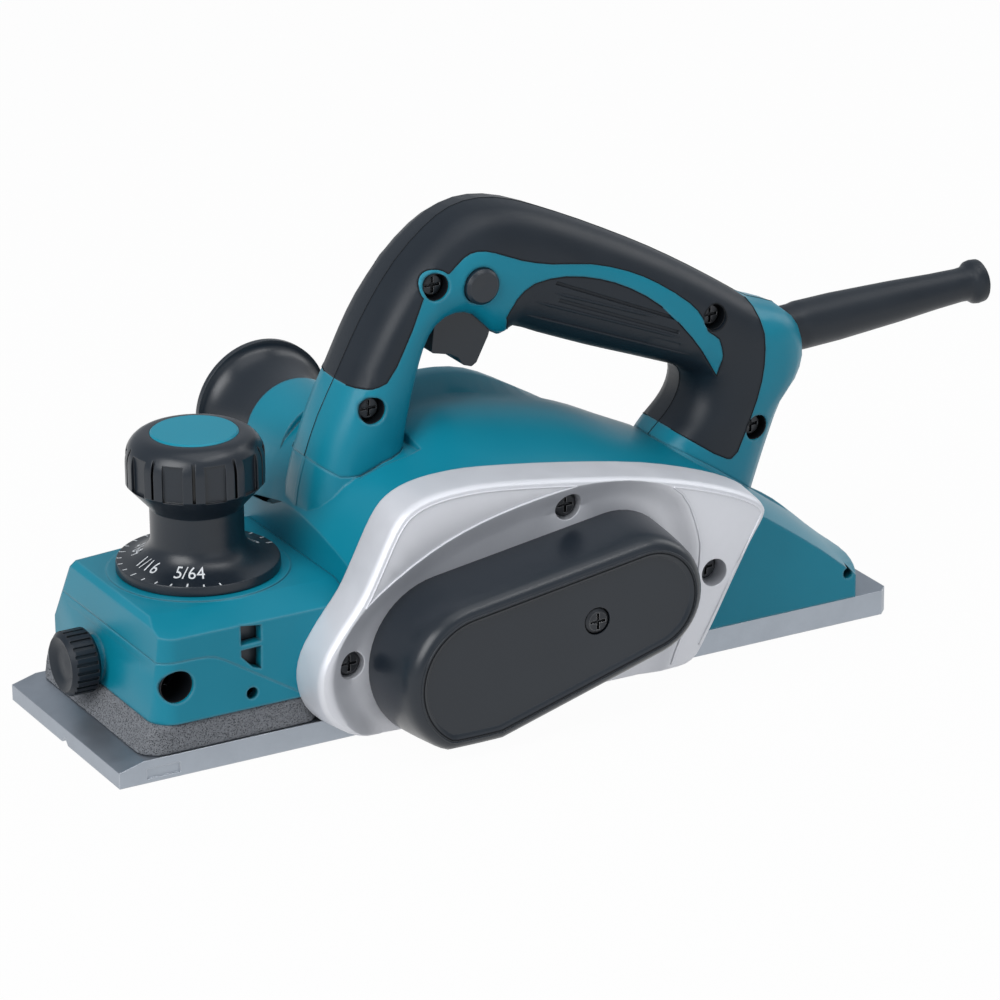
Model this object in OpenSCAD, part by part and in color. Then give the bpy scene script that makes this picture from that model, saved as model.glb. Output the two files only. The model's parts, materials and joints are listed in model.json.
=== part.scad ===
// Portable electric hand planer for planks and door edges, 82 mm planing width.
// Frame: +X to the rear, -Y to the belt side, +Z up. The origin lies on the sole
// of the rear base, at half its overall length and on its centre line.

/* [Bases] */
// Overall length over both bases
base_l = 285; // [275:1:295]
// Width of both bases, which is the planing width
base_w = 82; // [80:1:86]
// Thickness of the rear base
rear_t = 8.5; // [7.5:0.5:9]
// Thickness of the front base at its front lip
lip_t = 5.3; // [4.5:0.1:6]
// Thickness of the front base under the housing
front_t = 7.6; // [7:0.1:8]
// Greatest planing depth, which the front base rises by
depth_max = 2.5; // [1.5:0.1:2.6]
// Height of the foam seal between the front base and its housing
seal_h = 10; // [9:0.5:12]

/* [Cutter] */
// Radius of the circle that the blade edges cut
cut_r = 28; // [26:0.5:29]
// Distance of the cutter axis ahead of the middle of the machine
cutter_back = 32; // [28:0.5:34]
// Height of a blade edge over the drum body
blade_rise = 1.2; // [0.8:0.1:1.6]
// Radial room round the cutting circle
cut_room = 1.6; // [1.2:0.1:2]
// Radius of the drum shaft
drum_shaft_r = 5; // [4:0.5:6]

/* [Motor] */
// Distance from the cutter axis back to the motor axis
motor_run = 60; // [58:0.5:62]
// Height of the motor axis over the sole
motor_z = 42; // [41:0.5:44]
// Outer radius of the stator
stator_r = 28; // [25:0.5:29]
// Length of the stator stack
stator_l = 34; // [26:1:36]
// Radius of the armature stack
armature_r = 16.5; // [14:0.5:18]
// Radius of the armature shaft
motor_shaft_r = 4; // [3.5:0.5:4.5]
// Radius of the cooling fan
fan_r = 27; // [22:0.5:28]

/* [Belt drive] */
// Pitch radius of the drum pulley
drum_pulley_r = 19; // [17:0.5:20]
// Pitch radius of the motor pulley
motor_pulley_r = 14; // [12:0.5:15]
// Width of the drive belt
belt_w = 11; // [9:0.5:12]
// Thickness of the drive belt
belt_t = 2.4; // [1.6:0.1:3]
// Depth of the drive bracket, from the housing to its face
bracket_d = 14; // [12:0.5:15]
// Depth of the dish in the bracket that the belt cover stands in
dish_d = 4; // [3:0.5:5]
// Depth of the belt cover
cover_d = 25; // [24:0.5:28]
// Wall of the belt cover
cover_wall = 2.4; // [2:0.1:3]

/* [Handle] */
// Width of the handle
handle_w = 34; // [32:0.5:37]
// Thickness of the soft grip layer
grip_t = 1.8; // [1.2:0.1:2.2]
// Radius of the trigger's pivot pin
trigger_pin_r = 1.5; // [1.2:0.1:1.8]
// Width of the trigger
trigger_w = 19; // [17:0.5:20]
// Radius of the lock button
lock_r = 5.9; // [5:0.1:6.5]
// Travel of the lock button
lock_travel = 3; // [2:0.5:3.5]

/* [Knob] */
// Radius of the depth knob's grip
knob_r = 22.3; // [20:0.1:23]
// Radius of the depth knob's scale flange
flange_r = 26.3; // [25:0.1:27]
// Height of the knob from its flange to its top
knob_h = 46; // [42:0.5:48]
// Distance of the knob axis ahead of the middle of the machine
knob_back = 93.8; // [92:0.2:96]
// Rise of the front base for one turn of the knob
knob_pitch = 3; // [3:0.5:4]

/* [Chip nozzle] */
// Radius of the nozzle's mouth rim
nozzle_r = 24; // [22:0.5:26]
// Bore radius of the nozzle's neck
nozzle_bore_r = 14; // [12:0.5:15]
// Length of the nozzle beyond the housing
nozzle_l = 25; // [22:1:30]

/* [Fence clamp] */
// Bore radius for the fence rod
fence_bore_r = 5.5; // [4:0.5:6]
// Radius of the thumb screw's head
thumb_r = 10.5; // [9:0.5:12]

/* [Hidden] */

$fn = 72;
EPS = 0.01;
// Running clearance between pieces that move past each other
clear = 0.3;
// Radial clearance of a shaft in its bore
fit = 0.05;

// Main planes and axes
side_y = base_w / 2;
front_x = -base_l / 2;
rear_x = base_l / 2;
drum_x = -cutter_back;
drum_z = cut_r;
motor_x = drum_x + motor_run;
knob_x = -knob_back;
far_wall_t = 7;
far_y = side_y + 0.7 + far_wall_t;
housing_x = -60;
face_y = -side_y - bracket_d;
dish_y = face_y + dish_d;
cover_y = dish_y - cover_d;
half_w = handle_w / 2;

// ---------------------------------------------------------------- shape tools

function lerp(a, b, t) = a + (b - a) * t;
function clamp(v, a, b) = min(max(v, a), b);

// Catmull-Rom point at parameter s of an open list P of numbers or vectors
function spline(P, s) =
    let (i = clamp(floor(s), 0, len(P) - 2), t = s - i,
        a = P[max(i - 1, 0)], b = P[i], c = P[i + 1], d = P[min(i + 2, len(P) - 1)])
    0.5 * (2 * b + (c - a) * t + (2 * a - 5 * b + 4 * c - d) * t * t
        + (3 * b - a - 3 * c + d) * t * t * t);

// The same curve through a closed list of points, with n points on each span
function closed_spline(P, n) =
    let (m = len(P))
    [for (i = [0 : m - 1]) for (k = [0 : n - 1])
        let (t = k / n, a = P[(i + m - 1) % m], b = P[i], c = P[(i + 1) % m], d = P[(i + 2) % m])
        0.5 * (2 * b + (c - a) * t + (2 * a - 5 * b + 4 * c - d) * t * t
            + (3 * b - a - 3 * c + d) * t * t * t)];

// Height at x of a curve through points [x, z] whose x values rise
function height_at(P, x, i = 0) =
    i >= len(P) - 2 || x < P[i + 1][0]
        ? let (t = clamp((x - P[i][0]) / (P[i + 1][0] - P[i][0]), 0, 1),
            h = P[i + 1][0] - P[i][0],
            m0 = i == 0 ? (P[1][1] - P[0][1]) / h
                : (P[i + 1][1] - P[i - 1][1]) / (P[i + 1][0] - P[i - 1][0]),
            m1 = i >= len(P) - 2 ? (P[i + 1][1] - P[i][1]) / h
                : (P[i + 2][1] - P[i][1]) / (P[i + 2][0] - P[i][0]))
        (2 * t ^ 3 - 3 * t ^ 2 + 1) * P[i][1] + (t ^ 3 - 2 * t ^ 2 + t) * h * m0
            + (3 * t ^ 2 - 2 * t ^ 3) * P[i + 1][1] + (t ^ 3 - t ^ 2) * h * m1
        : height_at(P, x, i + 1);

// A closed solid through a stack of rings that all have the same number of points
module skin(rings) {
    n = len(rings[0]);
    m = len(rings);
    polyhedron(
        points = [for (r = rings) each r],
        faces = concat(
            [for (i = [0 : m - 2]) for (j = [0 : n - 1])
                [i * n + j, i * n + (j + 1) % n, (i + 1) * n + (j + 1) % n, (i + 1) * n + j]],
            [[for (j = [n - 1 : -1 : 0]) j]],
            [[for (j = [0 : n - 1]) (m - 1) * n + j]]),
        convexity = 8);
}

// A cylinder along Y from y0 to y1, centred at x and z
module rod_y(x, z, r, y0, y1) {
    translate([x, y0, z])
        rotate([-90, 0, 0])
            cylinder(r = r, h = y1 - y0);
}

// A revolved profile [radius, distance] about a line along Y that starts at y
module turn_y(x, z, y, profile, dir = 1) {
    translate([x, y, z])
        rotate([dir > 0 ? -90 : 90, 0, 0])
            rotate_extrude()
                polygon(profile);
}

// An outline in X and Z carried from y0 to y1
module plate_y(y0, y1) {
    translate([0, y1, 0])
        rotate([90, 0, 0])
            linear_extrude(y1 - y0)
                children();
}

module box(x0, x1, y0, y1, z0, z1) {
    translate([x0, y0, z0])
        cube([x1 - x0, y1 - y0, z1 - z0]);
}

// A rectangle with round corners, from x0, y0 to x1, y1
module round_rect(x0, y0, x1, y1, r) {
    translate([x0 + r, y0 + r])
        offset(r)
            square([x1 - x0 - 2 * r, y1 - y0 - 2 * r]);
}

// ------------------------------------------------------------- handle surface

// Outer and inner line of the handle in X and Z, from the foot of its front leg
// over the grip to the foot of its rear leg: each row is one section
handle_ribs = [
    [[-59.5, 40], [-20, 40]], [[-60, 56], [-21.5, 56]], [[-58.5, 70], [-23.2, 70]],
    [[-55.3, 81], [-23.6, 81]], [[-50.4, 93.5], [-22, 92]], [[-44, 105.5], [-19.3, 103.5]],
    [[-38, 116.9], [-16, 114.5]], [[-31.4, 128], [-11.8, 121]], [[-21.9, 140.6], [-5, 122.6]],
    [[-11, 150.4], [1.5, 120.2]], [[-1.5, 155.6], [7.5, 113.4]], [[9, 156.8], [12, 111.6]],
    [[21, 154.3], [16.5, 113.8]], [[37, 147.7], [26, 109.8]], [[55, 139], [43.8, 102.4]],
    [[72, 130], [58.5, 96.8]], [[87, 121.1], [70, 92.4]], [[99, 113.4], [78.8, 88.9]],
    [[110, 106.4], [83.7, 85.6]], [[120.5, 102.4], [84.6, 81.6]], [[126.8, 95.5], [83.8, 77.8]],
    [[128.4, 87], [82, 74.2]], [[125.6, 79], [79.2, 70.6]], [[119.5, 71.5], [75.8, 67.4]],
    [[115.4, 62], [72.2, 64]], [[111.2, 51], [69, 59.6]], [[106.5, 38], [66, 52]]];
// Half width of the handle at each section, as a share of half_w
handle_swell = [1.06, 1.04, 1.02, 1, 1, 1, 1, 1, 1, 1.01, 1.02, 1.02, 1.01, 1, 1, 1, 1.01, 1.02, 1.03,
    1.03, 1.03, 1.03, 1.04, 1.05, 1.06, 1.08, 1.1];
// Sections drawn between the rows above
rib_steps = 2;
section_n = 10;
section_power = 0.72;

// Half of one section, from the outer line round the side to the inner line; both ends lie past
// the centre plane by over
function half_ring(s, inset, side, over) =
    let (rib = spline(handle_ribs, s), o = rib[0], i = rib[1], mid = (o + i) / 2,
        up = (o - i) / norm(o - i), a = norm(o - i) / 2 - inset,
        b = spline(handle_swell, s) * half_w - inset)
    [for (k = [0 : section_n])
        let (t = 180 * k / section_n, c = cos(t), w = sin(t),
            q = mid + up * a * sign(c) * abs(c) ^ section_power)
        [q[0], side * (k == 0 || k == section_n ? -over : b * w ^ section_power), q[1]]];

module half_handle(side, inset = 0, from = 0, to = 26, over = 1) {
    rings = [for (k = [from * rib_steps : to * rib_steps])
        half_ring(k / rib_steps, inset, side, over)];
    skin(side > 0 ? rings : [for (k = [len(rings) - 1 : -1 : 0]) rings[k]]);
}

// Everything across the centre plane from one half of the handle
module other_half(side) {
    box(-90, 150, side > 0 ? -half_w : 0, side > 0 ? 0 : half_w, 20, 170);
}

// Joint lines between the handle's feet and their pedestals on the motor housing
front_joint = [[-75, 92], [-60, 88], [-55, 80.5], [-50, 77.4], [-44, 77.4], [-36, 80.4],
    [-28, 82], [-15, 83.2]];
rear_joint = [[50, 77], [58, 73], [66, 68.2], [72, 64.4], [77.5, 61.4], [87.8, 54.8], [101.3, 45.2],
    [120, 32]];

module below_joint() {
    plate_y(-side_y, side_y)
        polygon(concat(front_joint, [[-15, 30], [-75, 30]]));
    plate_y(-side_y, side_y)
        polygon(concat(rear_joint, [[50, 32]]));
}

// Seats in the hood that the handle's feet stand in
foot_seat_w = half_w + 1.9;

module foot_seats() {
    translate([0, 0, -0.4]) {
        plate_y(-foot_seat_w, foot_seat_w)
            polygon(concat([for (p = front_joint) if (p[0] < -20) p],
                [[-23.4, 82.6], [-21.6, 92], [-19, 120], [-75, 120]]));
        plate_y(-foot_seat_w, foot_seat_w)
            polygon(concat([[70, 65.7]], [for (p = rear_joint) if (p[0] > 70) p],
                [[140, 32], [140, 120], [70, 120]]));
    }
}

// The hard band that shows between the soft grips, and both hard feet
module hard_band() {
    plate_y(-side_y, side_y)
        polygon(concat(
            [[-75, 105.2], [-38.4, 105.2], [-33.8, 106.8], [-30.2, 111.7], [-24.4, 123],
                [-20.4, 132], [-14.2, 139.6]],
            [for (s = [0 : 0.5 : 13]) spline([[-10.8, 139.4], [-5.3, 143.6], [-0.4, 144.9],
                [5.8, 143.6], [15.6, 139.4], [26.8, 136.2], [41, 133.8], [55.3, 128.8],
                [66.8, 122.6], [78.5, 114], [83.2, 108.2], [85.2, 103.2], [89.6, 99.6],
                [91.2, 93.6]], s)],
            [[89.9, 86]],
            [for (s = [0 : 0.5 : 8]) spline([[87, 90.6], [79.2, 101.7], [67.5, 114.6],
                [55.9, 122.7], [44.4, 127.9], [31.6, 131], [20.3, 130.6], [13.6, 126.2],
                [10.6, 120.4]], s)],
            [[12, 116], [16, 112], [16, 100], [-12, 100], [-18, 40], [-75, 40]]));
    rod_y(handle_screw_places[0][0], handle_screw_places[0][1], 5.7, -side_y, side_y);
}

module hard_tail() {
    plate_y(-side_y, side_y)
        polygon(concat(
            [[50, 84], [61, 78.6], [67.4, 74.2], [78.2, 66.6], [87.4, 60.2]],
            [for (s = [0 : 0.5 : 6]) spline([[92.2, 57.6], [96.4, 59], [104, 76.1], [106.8, 87.6],
                [107, 98.3], [105, 109.3], [103, 118]], s)],
            [[104, 130], [140, 130], [140, 20], [50, 20]]));
}

// Soft layer of one half of the handle; its seat in the handle is the same layer cut past the
// surface and past the centre plane
module grip_layer(side, past = 0) {
    difference() {
        half_handle(side, -past, 3, 25, 1 + past);
        half_handle(side, grip_t, 2, 26, 3);
        hard_band();
        hard_tail();
    }
}

// ------------------------------------------------------------ housing surface

// Height of the motor hood over its near edge, along its crest and over the chip duct
hood_edge = [[-60, 56], [-45, 74], [-30, 77.5], [-16, 78], [3, 76], [20, 73], [46, 66.5], [70, 57.5],
    [90, 46], [112, 30.5], [124, 20.8], [129, 16.2], [134, 13.4], [141, 12.4]];
hood_crest = [[-60, 64], [-48, 77], [-36, 82], [-26, 84], [-19, 88], [-10, 90.2], [5, 89],
    [31, 83.2], [44, 78.4], [57, 72], [72, 64.8], [80, 60.4], [94, 51.6], [106, 43.6], [120, 33], [134, 20.4], [141, 14.6]];
duct_crest = [[-60, 60], [-50, 79], [-38, 87.6], [-20, 93.8], [0, 97], [14, 94.6], [28, 87],
    [44, 76.2], [60, 68], [78, 59.4], [94, 51], [106, 43], [120, 32.6], [134, 20], [141, 14.2]];
hood_from = housing_x;
hood_to = 141;
// Plan radius of the hood's tail, and how far it ends before the rear base
tail_r = 76;
tail_set = 1.5;
hood_n = 38;
hood_cols = 18;

// Height of the hood's surface at x and y
function hood_z(x, y) =
    let (v = abs(y) / side_y, near = height_at(hood_edge, x), mid = height_at(hood_crest, x),
        far = height_at(duct_crest, x),
        bump = y <= 6 ? 0 : 0.5 - 0.5 * cos(clamp((y - 6) / 12, 0, 1) * 180))
    near + (lerp(mid, far, bump) - near) * (y < 0 ? 1 - v ^ 1.6 : max(sqrt(1 - v * v), 0.2));

// One section of the hood across the machine
function hood_ring(x) =
    concat([[x, side_y, rear_t], [x, -side_y, rear_t]],
        [for (k = [0 : hood_cols]) let (y = -side_y * cos(180 * k / hood_cols))
            [x, y, hood_z(x, y)]]);

module hood() {
    intersection() {
        skin([for (k = [0 : hood_n]) hood_ring(lerp(hood_from, hood_to, k / hood_n))]);
        // The tail is one wide arc in plan
        linear_extrude(120)
            union() {
                translate([rear_x - tail_set - tail_r, 0])
                    circle(tail_r);
                translate([housing_x - 1, -side_y - 1])
                    square([rear_x - tail_set - tail_r - housing_x + 1, base_w + 2]);
            }
    }
}

// ---------------------------------------------------------------------- bases

mouth_r = cut_r + cut_room;
corner_cut = 3;

module drum_room(r, drop = 0) {
    rod_y(drum_x, drum_z - drop, r, -side_y - 1, side_y + 1);
}

module rear_base() {
    color("lightgray")
    difference() {
        // Both rear corners are cut off at a slant
        linear_extrude(rear_t)
            polygon([[drum_x, -side_y], [rear_x - corner_cut, -side_y], [rear_x, -side_y + corner_cut],
                [rear_x, side_y - corner_cut], [rear_x - corner_cut, side_y], [drum_x, side_y]]);
        drum_room(mouth_r);
        foot_room(-1, rear_t + 1);
        for (p = base_screw_places)
            translate([p[0], p[1], -EPS]) {
                cylinder(r = screw_r + 0.1, h = rear_t + 1);
                cylinder(r = 2 * screw_r + 0.2, h = screw_sunk);
                translate([0, 0, screw_sunk])
                    cylinder(r1 = 2 * screw_r + 0.2, r2 = screw_r + 0.1, h = screw_r + 0.1);
            }
    }
}

screw_r = 2;
screw_sunk = 0.5;
base_screw_places = [[8, -30], [8, 24], [122, -24], [122, 24]];
base_screw_l = 20;

module base_screws() {
    color("dimgray")
    for (p = base_screw_places)
        translate([p[0], p[1], screw_sunk])
            difference() {
                union() {
                    cylinder(r1 = 2 * screw_r, r2 = screw_r, h = screw_r);
                    cylinder(r = screw_r - 0.05, h = base_screw_l - screw_sunk);
                }
                cross_slot(screw_r * 2.2, 0.9, 1.2);
            }
}

// A cross recess that opens at z = 0 and goes up
module cross_slot(l, w, d) {
    for (a = [0, 90])
        rotate([0, 0, a])
            translate([-l / 2, -w / 2, -EPS])
                cube([l, w, d]);
}

foot_x = rear_x - 30.5;
foot_y = 31;
foot_pin_z = 13;
foot_room_w = 9;

// Slot that the rear foot swings out of
module foot_room(z0, z1) {
    box(foot_x - 27, foot_x + 6, foot_y - foot_room_w / 2, foot_y + foot_room_w / 2, z0, z1);
}

front_gap = 0.4;
groove_d = 2.2;

module front_base() {
    color("silver")
    difference() {
        union() {
            // Plate with a lip that slopes up to the seal
            plate_y(-side_y + front_gap, side_y - front_gap)
                polygon([[front_x, 0], [front_x, lip_t], [seal_x0 - 0.5, front_t], [drum_x, front_t],
                    [drum_x, 0]]);
            // Slide block with the thread for the adjusting screw and two guide posts
            translate([knob_x, 0, front_t - EPS])
                cylinder(r = 11, h = post_h);
            for (y = [-post_y, post_y])
                translate([knob_x + 4, y, front_t - EPS])
                    cylinder(r = post_r, h = post_h);
        }
        drum_room(mouth_r);
        drum_room(mouth_r, depth_max);
        // V groove along the sole that seats on a plank's corner
        translate([front_x - 1, 0, 0])
            rotate([90, 0, 90])
                linear_extrude(base_l / 2)
                    polygon([[-groove_d, -EPS], [groove_d, -EPS], [0, groove_d]]);
        // Shallow cast pocket in the near edge
        box(-133, -121.5, -side_y - 1, -side_y + front_gap + 0.6, 1.4, lip_t - 0.6);
        translate([knob_x, 0, adjust_z0 - depth_max - 0.5])
            cylinder(r = screw_thread_r, h = post_h + front_t);
    }
}

seal_x0 = -133.5;
seal_x1 = -70;
post_h = 16;
post_r = 5;
post_y = 26;
screw_thread_r = 5;
front_top_z = 50.4;
front_low_z = front_t + seal_h;
front_wall_x = -128;
ceiling_z = front_top_z - 5;
corner_r = 8;

module foam_seal() {
    color("gray")
    difference() {
        intersection() {
            plate_y(-side_y, side_y)
                polygon([[seal_x0, front_t], [seal_x0 + 4, front_low_z],
                    [seal_x1, front_low_z], [seal_x1, front_t]]);
            linear_extrude(60)
                round_rect(seal_x0, -side_y + 0.6, seal_x1, side_y - 0.6, corner_r);
        }
        translate([0, 0, -1])
            linear_extrude(60)
                round_rect(seal_x0 + 11, -side_y + 8, seal_x1 + 30, side_y - 8, 4);
    }
}

// ------------------------------------------------------------ front housing

// Parting line between the front housing and its cover, seen from the side
module under_parting() {
    plate_y(-side_y - 2, side_y + 2)
        polygon(concat([[-140, 0], [-140, 38.3]],
            [for (s = [0 : 0.5 : 5]) spline([[-118, 38.3], [-111, 38], [-105.6, 36], [-94.6, 29],
                [-83.5, 22], [-74, 16]], s)],
            [[-74, 0]]));
}

module front_block() {
    intersection() {
        // Side profile with a slight draft at the front
        plate_y(-side_y, side_y)
            polygon([[front_wall_x - 1, front_low_z], [front_wall_x + 1.2, front_top_z - 2],
                [front_wall_x + 3, front_top_z], [housing_x, front_top_z],
                [housing_x, front_low_z]]);
        // Front profile with a bevel on both long top edges
        translate([-150, 0, 0])
            rotate([90, 0, 90])
                linear_extrude(120)
                    polygon([[-side_y, 0], [-side_y, front_top_z - 4.2], [-side_y + 12, front_top_z],
                        [side_y - 9, front_top_z], [side_y, front_top_z - 4.2], [side_y, 0]]);
        linear_extrude(80)
            round_rect(front_wall_x - 1, -side_y, housing_x + 20, side_y, corner_r);
        // The far side leans in, and more so towards the front
        translate([front_wall_x + 1, 31.3, 38.4])
            rotate([0, 0, 6.6])
                rotate([27, 0, 0])
                    box(-30, 120, -120, 0, -80, 80);
    }
}

module front_room() {
    box(front_wall_x + 15, housing_x - 3, -side_y + 4, side_y - 18, front_low_z - 1, ceiling_z);
    box(front_wall_x + 15, housing_x - 3, 0, side_y - 7.6, front_low_z - 1, front_top_z - 18);
    box(front_wall_x + 3, front_wall_x + 16, -side_y + 14, side_y - 14, front_low_z - 1, 36);
    // Way of the fence rod between its two bores
    box(fence_x - fence_way, fence_x + fence_way, -side_y + 14, side_y - 14, fence_z - fence_way,
        fence_z + fence_way);
    drum_room(mouth_r);
}

fence_x = -121.5;
fence_z = 30;
fence_way = fence_bore_r + 0.2;
guide_hole = [-96, 22.6];

module front_holes() {
    rod_y(fence_x, fence_z, fence_bore_r, -side_y - 2, side_y + 2);
    rod_y(guide_hole[0], guide_hole[1], 2, -side_y - 2, -side_y + 6);
    // Two windows for the adjusting slide
    plate_y(-side_y - 2, -side_y + 6)
        polygon([[-99.5, 46], [-92.3, 45], [-92.3, 39.5], [-99.5, 39.3]]);
    plate_y(-side_y - 2, -side_y + 6)
        polygon([[-99.5, 37.8], [-92.4, 38], [-92.6, 30.2], [-95.4, 31.2], [-99.5, 35.6]]);
    translate([knob_x, 0, front_top_z - 6])
        cylinder(r = screw_thread_r, h = 10);
    // Way in for the foremost bracket screw
    rod_y(bracket_screw_places[2][0], bracket_screw_places[2][1], screw_r, -side_y - 1, -side_y + 6);
    thumb_hole();
}

thumb_y = 5;
thumb_z = 25;
thumb_bolt_r = 3;
thumb_bolt_l = 3.8;
nut_r = 5;
nut_l = 3;
nut_x = front_wall_x - 2.2;

module thumb_hole() {
    translate([front_wall_x - 5, thumb_y, thumb_z])
        rotate([0, 90, 0])
            cylinder(r = thumb_bolt_r + fit, h = 12);
    translate([nut_x, thumb_y, thumb_z])
        rotate([0, 90, 0])
            cylinder(r = nut_r, h = nut_l);
}

module front_housing() {
    color("teal")
    difference() {
        union() {
            intersection() {
                front_block();
                under_parting();
            }
            // Boss behind the thumb screw
            translate([front_wall_x - 2.4, thumb_y, thumb_z])
                rotate([0, 90, 0])
                    cylinder(r = thumb_z - front_low_z, h = 4);
        }
        front_room();
        front_holes();
    }
}

module front_cover() {
    color("teal")
    difference() {
        union() {
            difference() {
                front_block();
                under_parting();
            }
            // Polished ring that the knob's flange turns over
            translate([knob_x, 0, front_top_z - 1])
                cylinder(r = flange_r + 3, h = 1.4);
        }
        difference() {
            front_room();
            // Sleeves that guide the posts of the front base
            for (y = [-post_y, post_y])
                translate([knob_x + 4, y, front_low_z + 2])
                    cylinder(r = post_r + 3, h = front_top_z);
        }
        for (y = [-post_y, post_y])
            translate([knob_x + 4, y, 0])
                cylinder(r = post_r + fit, h = front_t + post_h + depth_max + 2);
        front_holes();
    }
}

// ----------------------------------------------------------------- depth knob

knob_z = front_top_z + 0.4 + clear;
cap_r = 14.1;
cap_t = 1.6;

module depth_knob() {
    color("darkslategray")
    translate([knob_x, 0, knob_z])
        difference() {
            rotate_extrude()
                polygon(concat(
                    [[screw_thread_r, 0], [flange_r, 0], [flange_r, 2.2]],
                    // Flare from the flange up to the neck
                    [for (k = [0 : 8]) let (a = 90 * k / 8)
                        [15 + 11 * (1 - sin(a)), 3 + 8 * (1 - cos(a))]],
                    [[15, knob_h - 25], [16, knob_h - 23.6], [knob_r - 1.6, knob_h - 18.4],
                        [knob_r, knob_h - 16.6], [knob_r, knob_h - 9]],
                    // Shoulder over the grip pockets
                    [for (k = [0 : 8]) let (a = 90 * k / 8)
                        [cap_r + 1 + (knob_r - cap_r - 1) * cos(a), knob_h - 9 + 8.4 * sin(a)]],
                    [[cap_r + 0.1, knob_h - 0.6], [cap_r + 0.1, knob_h - cap_t - 0.6],
                        [screw_thread_r, knob_h - cap_t - 0.6]]));
            for (k = [0 : 9])
                rotate([0, 0, 36 * k + 9]) {
                    // Grip pocket
                    translate([knob_r - 1.4, -3.4, knob_h - 17])
                        cube([4, 6.8, 12]);
                    // Thin slit between two pockets
                    rotate([0, 0, 18])
                        translate([knob_r - 1.6, -0.5, knob_h - 16.6])
                            cube([4, 1, 13]);
                }
        }
}

module knob_cap() {
    color("teal")
    translate([knob_x, 0, knob_z + knob_h - cap_t - 0.6])
        union() {
            cylinder(r = cap_r, h = cap_t);
            translate([0, 0, cap_t - EPS])
                cylinder(r1 = cap_r, r2 = cap_r - 0.6, h = 0.5);
        }
}

// Screw that turns with the knob and lifts the front base
adjust_z0 = 7.5;

module adjusting_screw() {
    color("silver")
    translate([knob_x, 0, 0])
        union() {
            translate([0, 0, adjust_z0])
                cylinder(r = screw_thread_r - fit, h = knob_z + knob_h - cap_t - 1.6 - adjust_z0);
            // Collar under the ceiling
            translate([0, 0, ceiling_z - clear - 2])
                cylinder(r = screw_thread_r + 3, h = 2);
        }
}

spring_turns = 5;
spring_r = 13.6;
spring_wire = 1;
spring_z0 = front_t + 0.2;
spring_z1 = ceiling_z - 0.2;

function coil_ring(k, per_turn, n) =
    let (a = 360 * k / per_turn, z = lerp(spring_z0 + spring_wire, spring_z1 - spring_wire, k / n))
    [for (j = [0 : 5]) let (b = 60 * j, r = spring_r + spring_wire * cos(b))
        [r * cos(a), r * sin(a), z + spring_wire * sin(b)]];

// Compression spring round the slide block
module depth_spring() {
    n = spring_turns * 14;
    color("silver")
    translate([knob_x, 0, 0])
        skin([for (k = [n : -1 : 0]) coil_ring(k, 14, n)]);
}

// --------------------------------------------------------------- fence clamp

thumb_head_l = 10;
thumb_x = front_wall_x - 2.4 - clear - thumb_head_l;

module thumb_screw() {
    color("black")
    translate([thumb_x, thumb_y, thumb_z])
        rotate([0, 90, 0])
            difference() {
                rotate_extrude()
                    polygon([[0, 1.2], [5, 1.6], [7.2, 0.6], [thumb_r - 1.6, 0], [thumb_r, 1.6],
                        [thumb_r, thumb_head_l - 1.2], [thumb_r - 1.4, thumb_head_l],
                        [thumb_bolt_r, thumb_head_l], [thumb_bolt_r, thumb_head_l + thumb_bolt_l],
                        [0, thumb_head_l + thumb_bolt_l]]);
                for (k = [0 : 23])
                    rotate([0, 0, 15 * k])
                        translate([thumb_r - 0.6, -0.55, 1.4])
                            cube([2, 1.1, thumb_head_l - 2.8]);
            }
}

// Round insert nut that the thumb screw runs in
module clamp_nut() {
    color("silver")
    translate([nut_x, thumb_y, thumb_z])
        rotate([0, 90, 0])
            difference() {
                cylinder(r = nut_r, h = nut_l);
                translate([0, 0, -1])
                    cylinder(r = thumb_bolt_r + fit, h = nut_l + 2);
            }
}

// ---------------------------------------------------------- bracket and cover

// Outline of the drive bracket on the housing
bracket_outline = closed_spline([[64.4, 12.8], [72.5, 27.4], [80.6, 42], [85.4, 49.6], [85.8, 54.4],
    [81, 59.4], [67.7, 65.7], [45, 72.8], [15.3, 78.6], [-13.8, 82.8], [-28.2, 83.6],
    [-39.7, 82.6], [-47.9, 79.4], [-53.4, 73.4], [-60.2, 60.6], [-65.4, 51.4], [-73, 42],
    [-78.8, 33], [-80.5, 24], [-77.5, 14], [-69, 6], [-57, 2.9], [-30, 2.6], [10, 2.6], [46, 2.6],
    [58, 4.4]], 3);
// Ridge round the dish that holds the belt cover
dish_outline = closed_spline([[41, -9], [50, 10], [57, 27], [59.2, 40.5], [58.8, 50], [52.6, 65],
    [38.5, 73.4], [21.9, 75.6], [0, 73.8], [-21.8, 69.6], [-39.7, 63.2], [-57.6, 53],
    [-67.7, 44], [-73.6, 34], [-75, 24], [-72, 14], [-66, 5], [-58, -7], [-42, -15], [-12, -19],
    [20, -17]], 3);

// The outline moved inwards by d
function inset(P, d) =
    let (n = len(P))
    [for (i = [0 : n - 1]) let (t = P[(i + 1) % n] - P[(i + n - 1) % n], l = norm(t))
        P[i] + d * [-t[1], t[0]] / l];

function ring_at(P, y) = [for (p = P) [p[0], y, p[1]]];

bracket_screw_places = [[12.2, 67.5], [64.8, 35.3], [-66.3, 29.4]];
bracket_head_r = 4.2;
bracket_head_y = face_y + 5.5;
bearing_w = 7;
bearing_y = -side_y - bearing_w;
drum_bearing_r = 11;
motor_bearing_r = 11;

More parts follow.
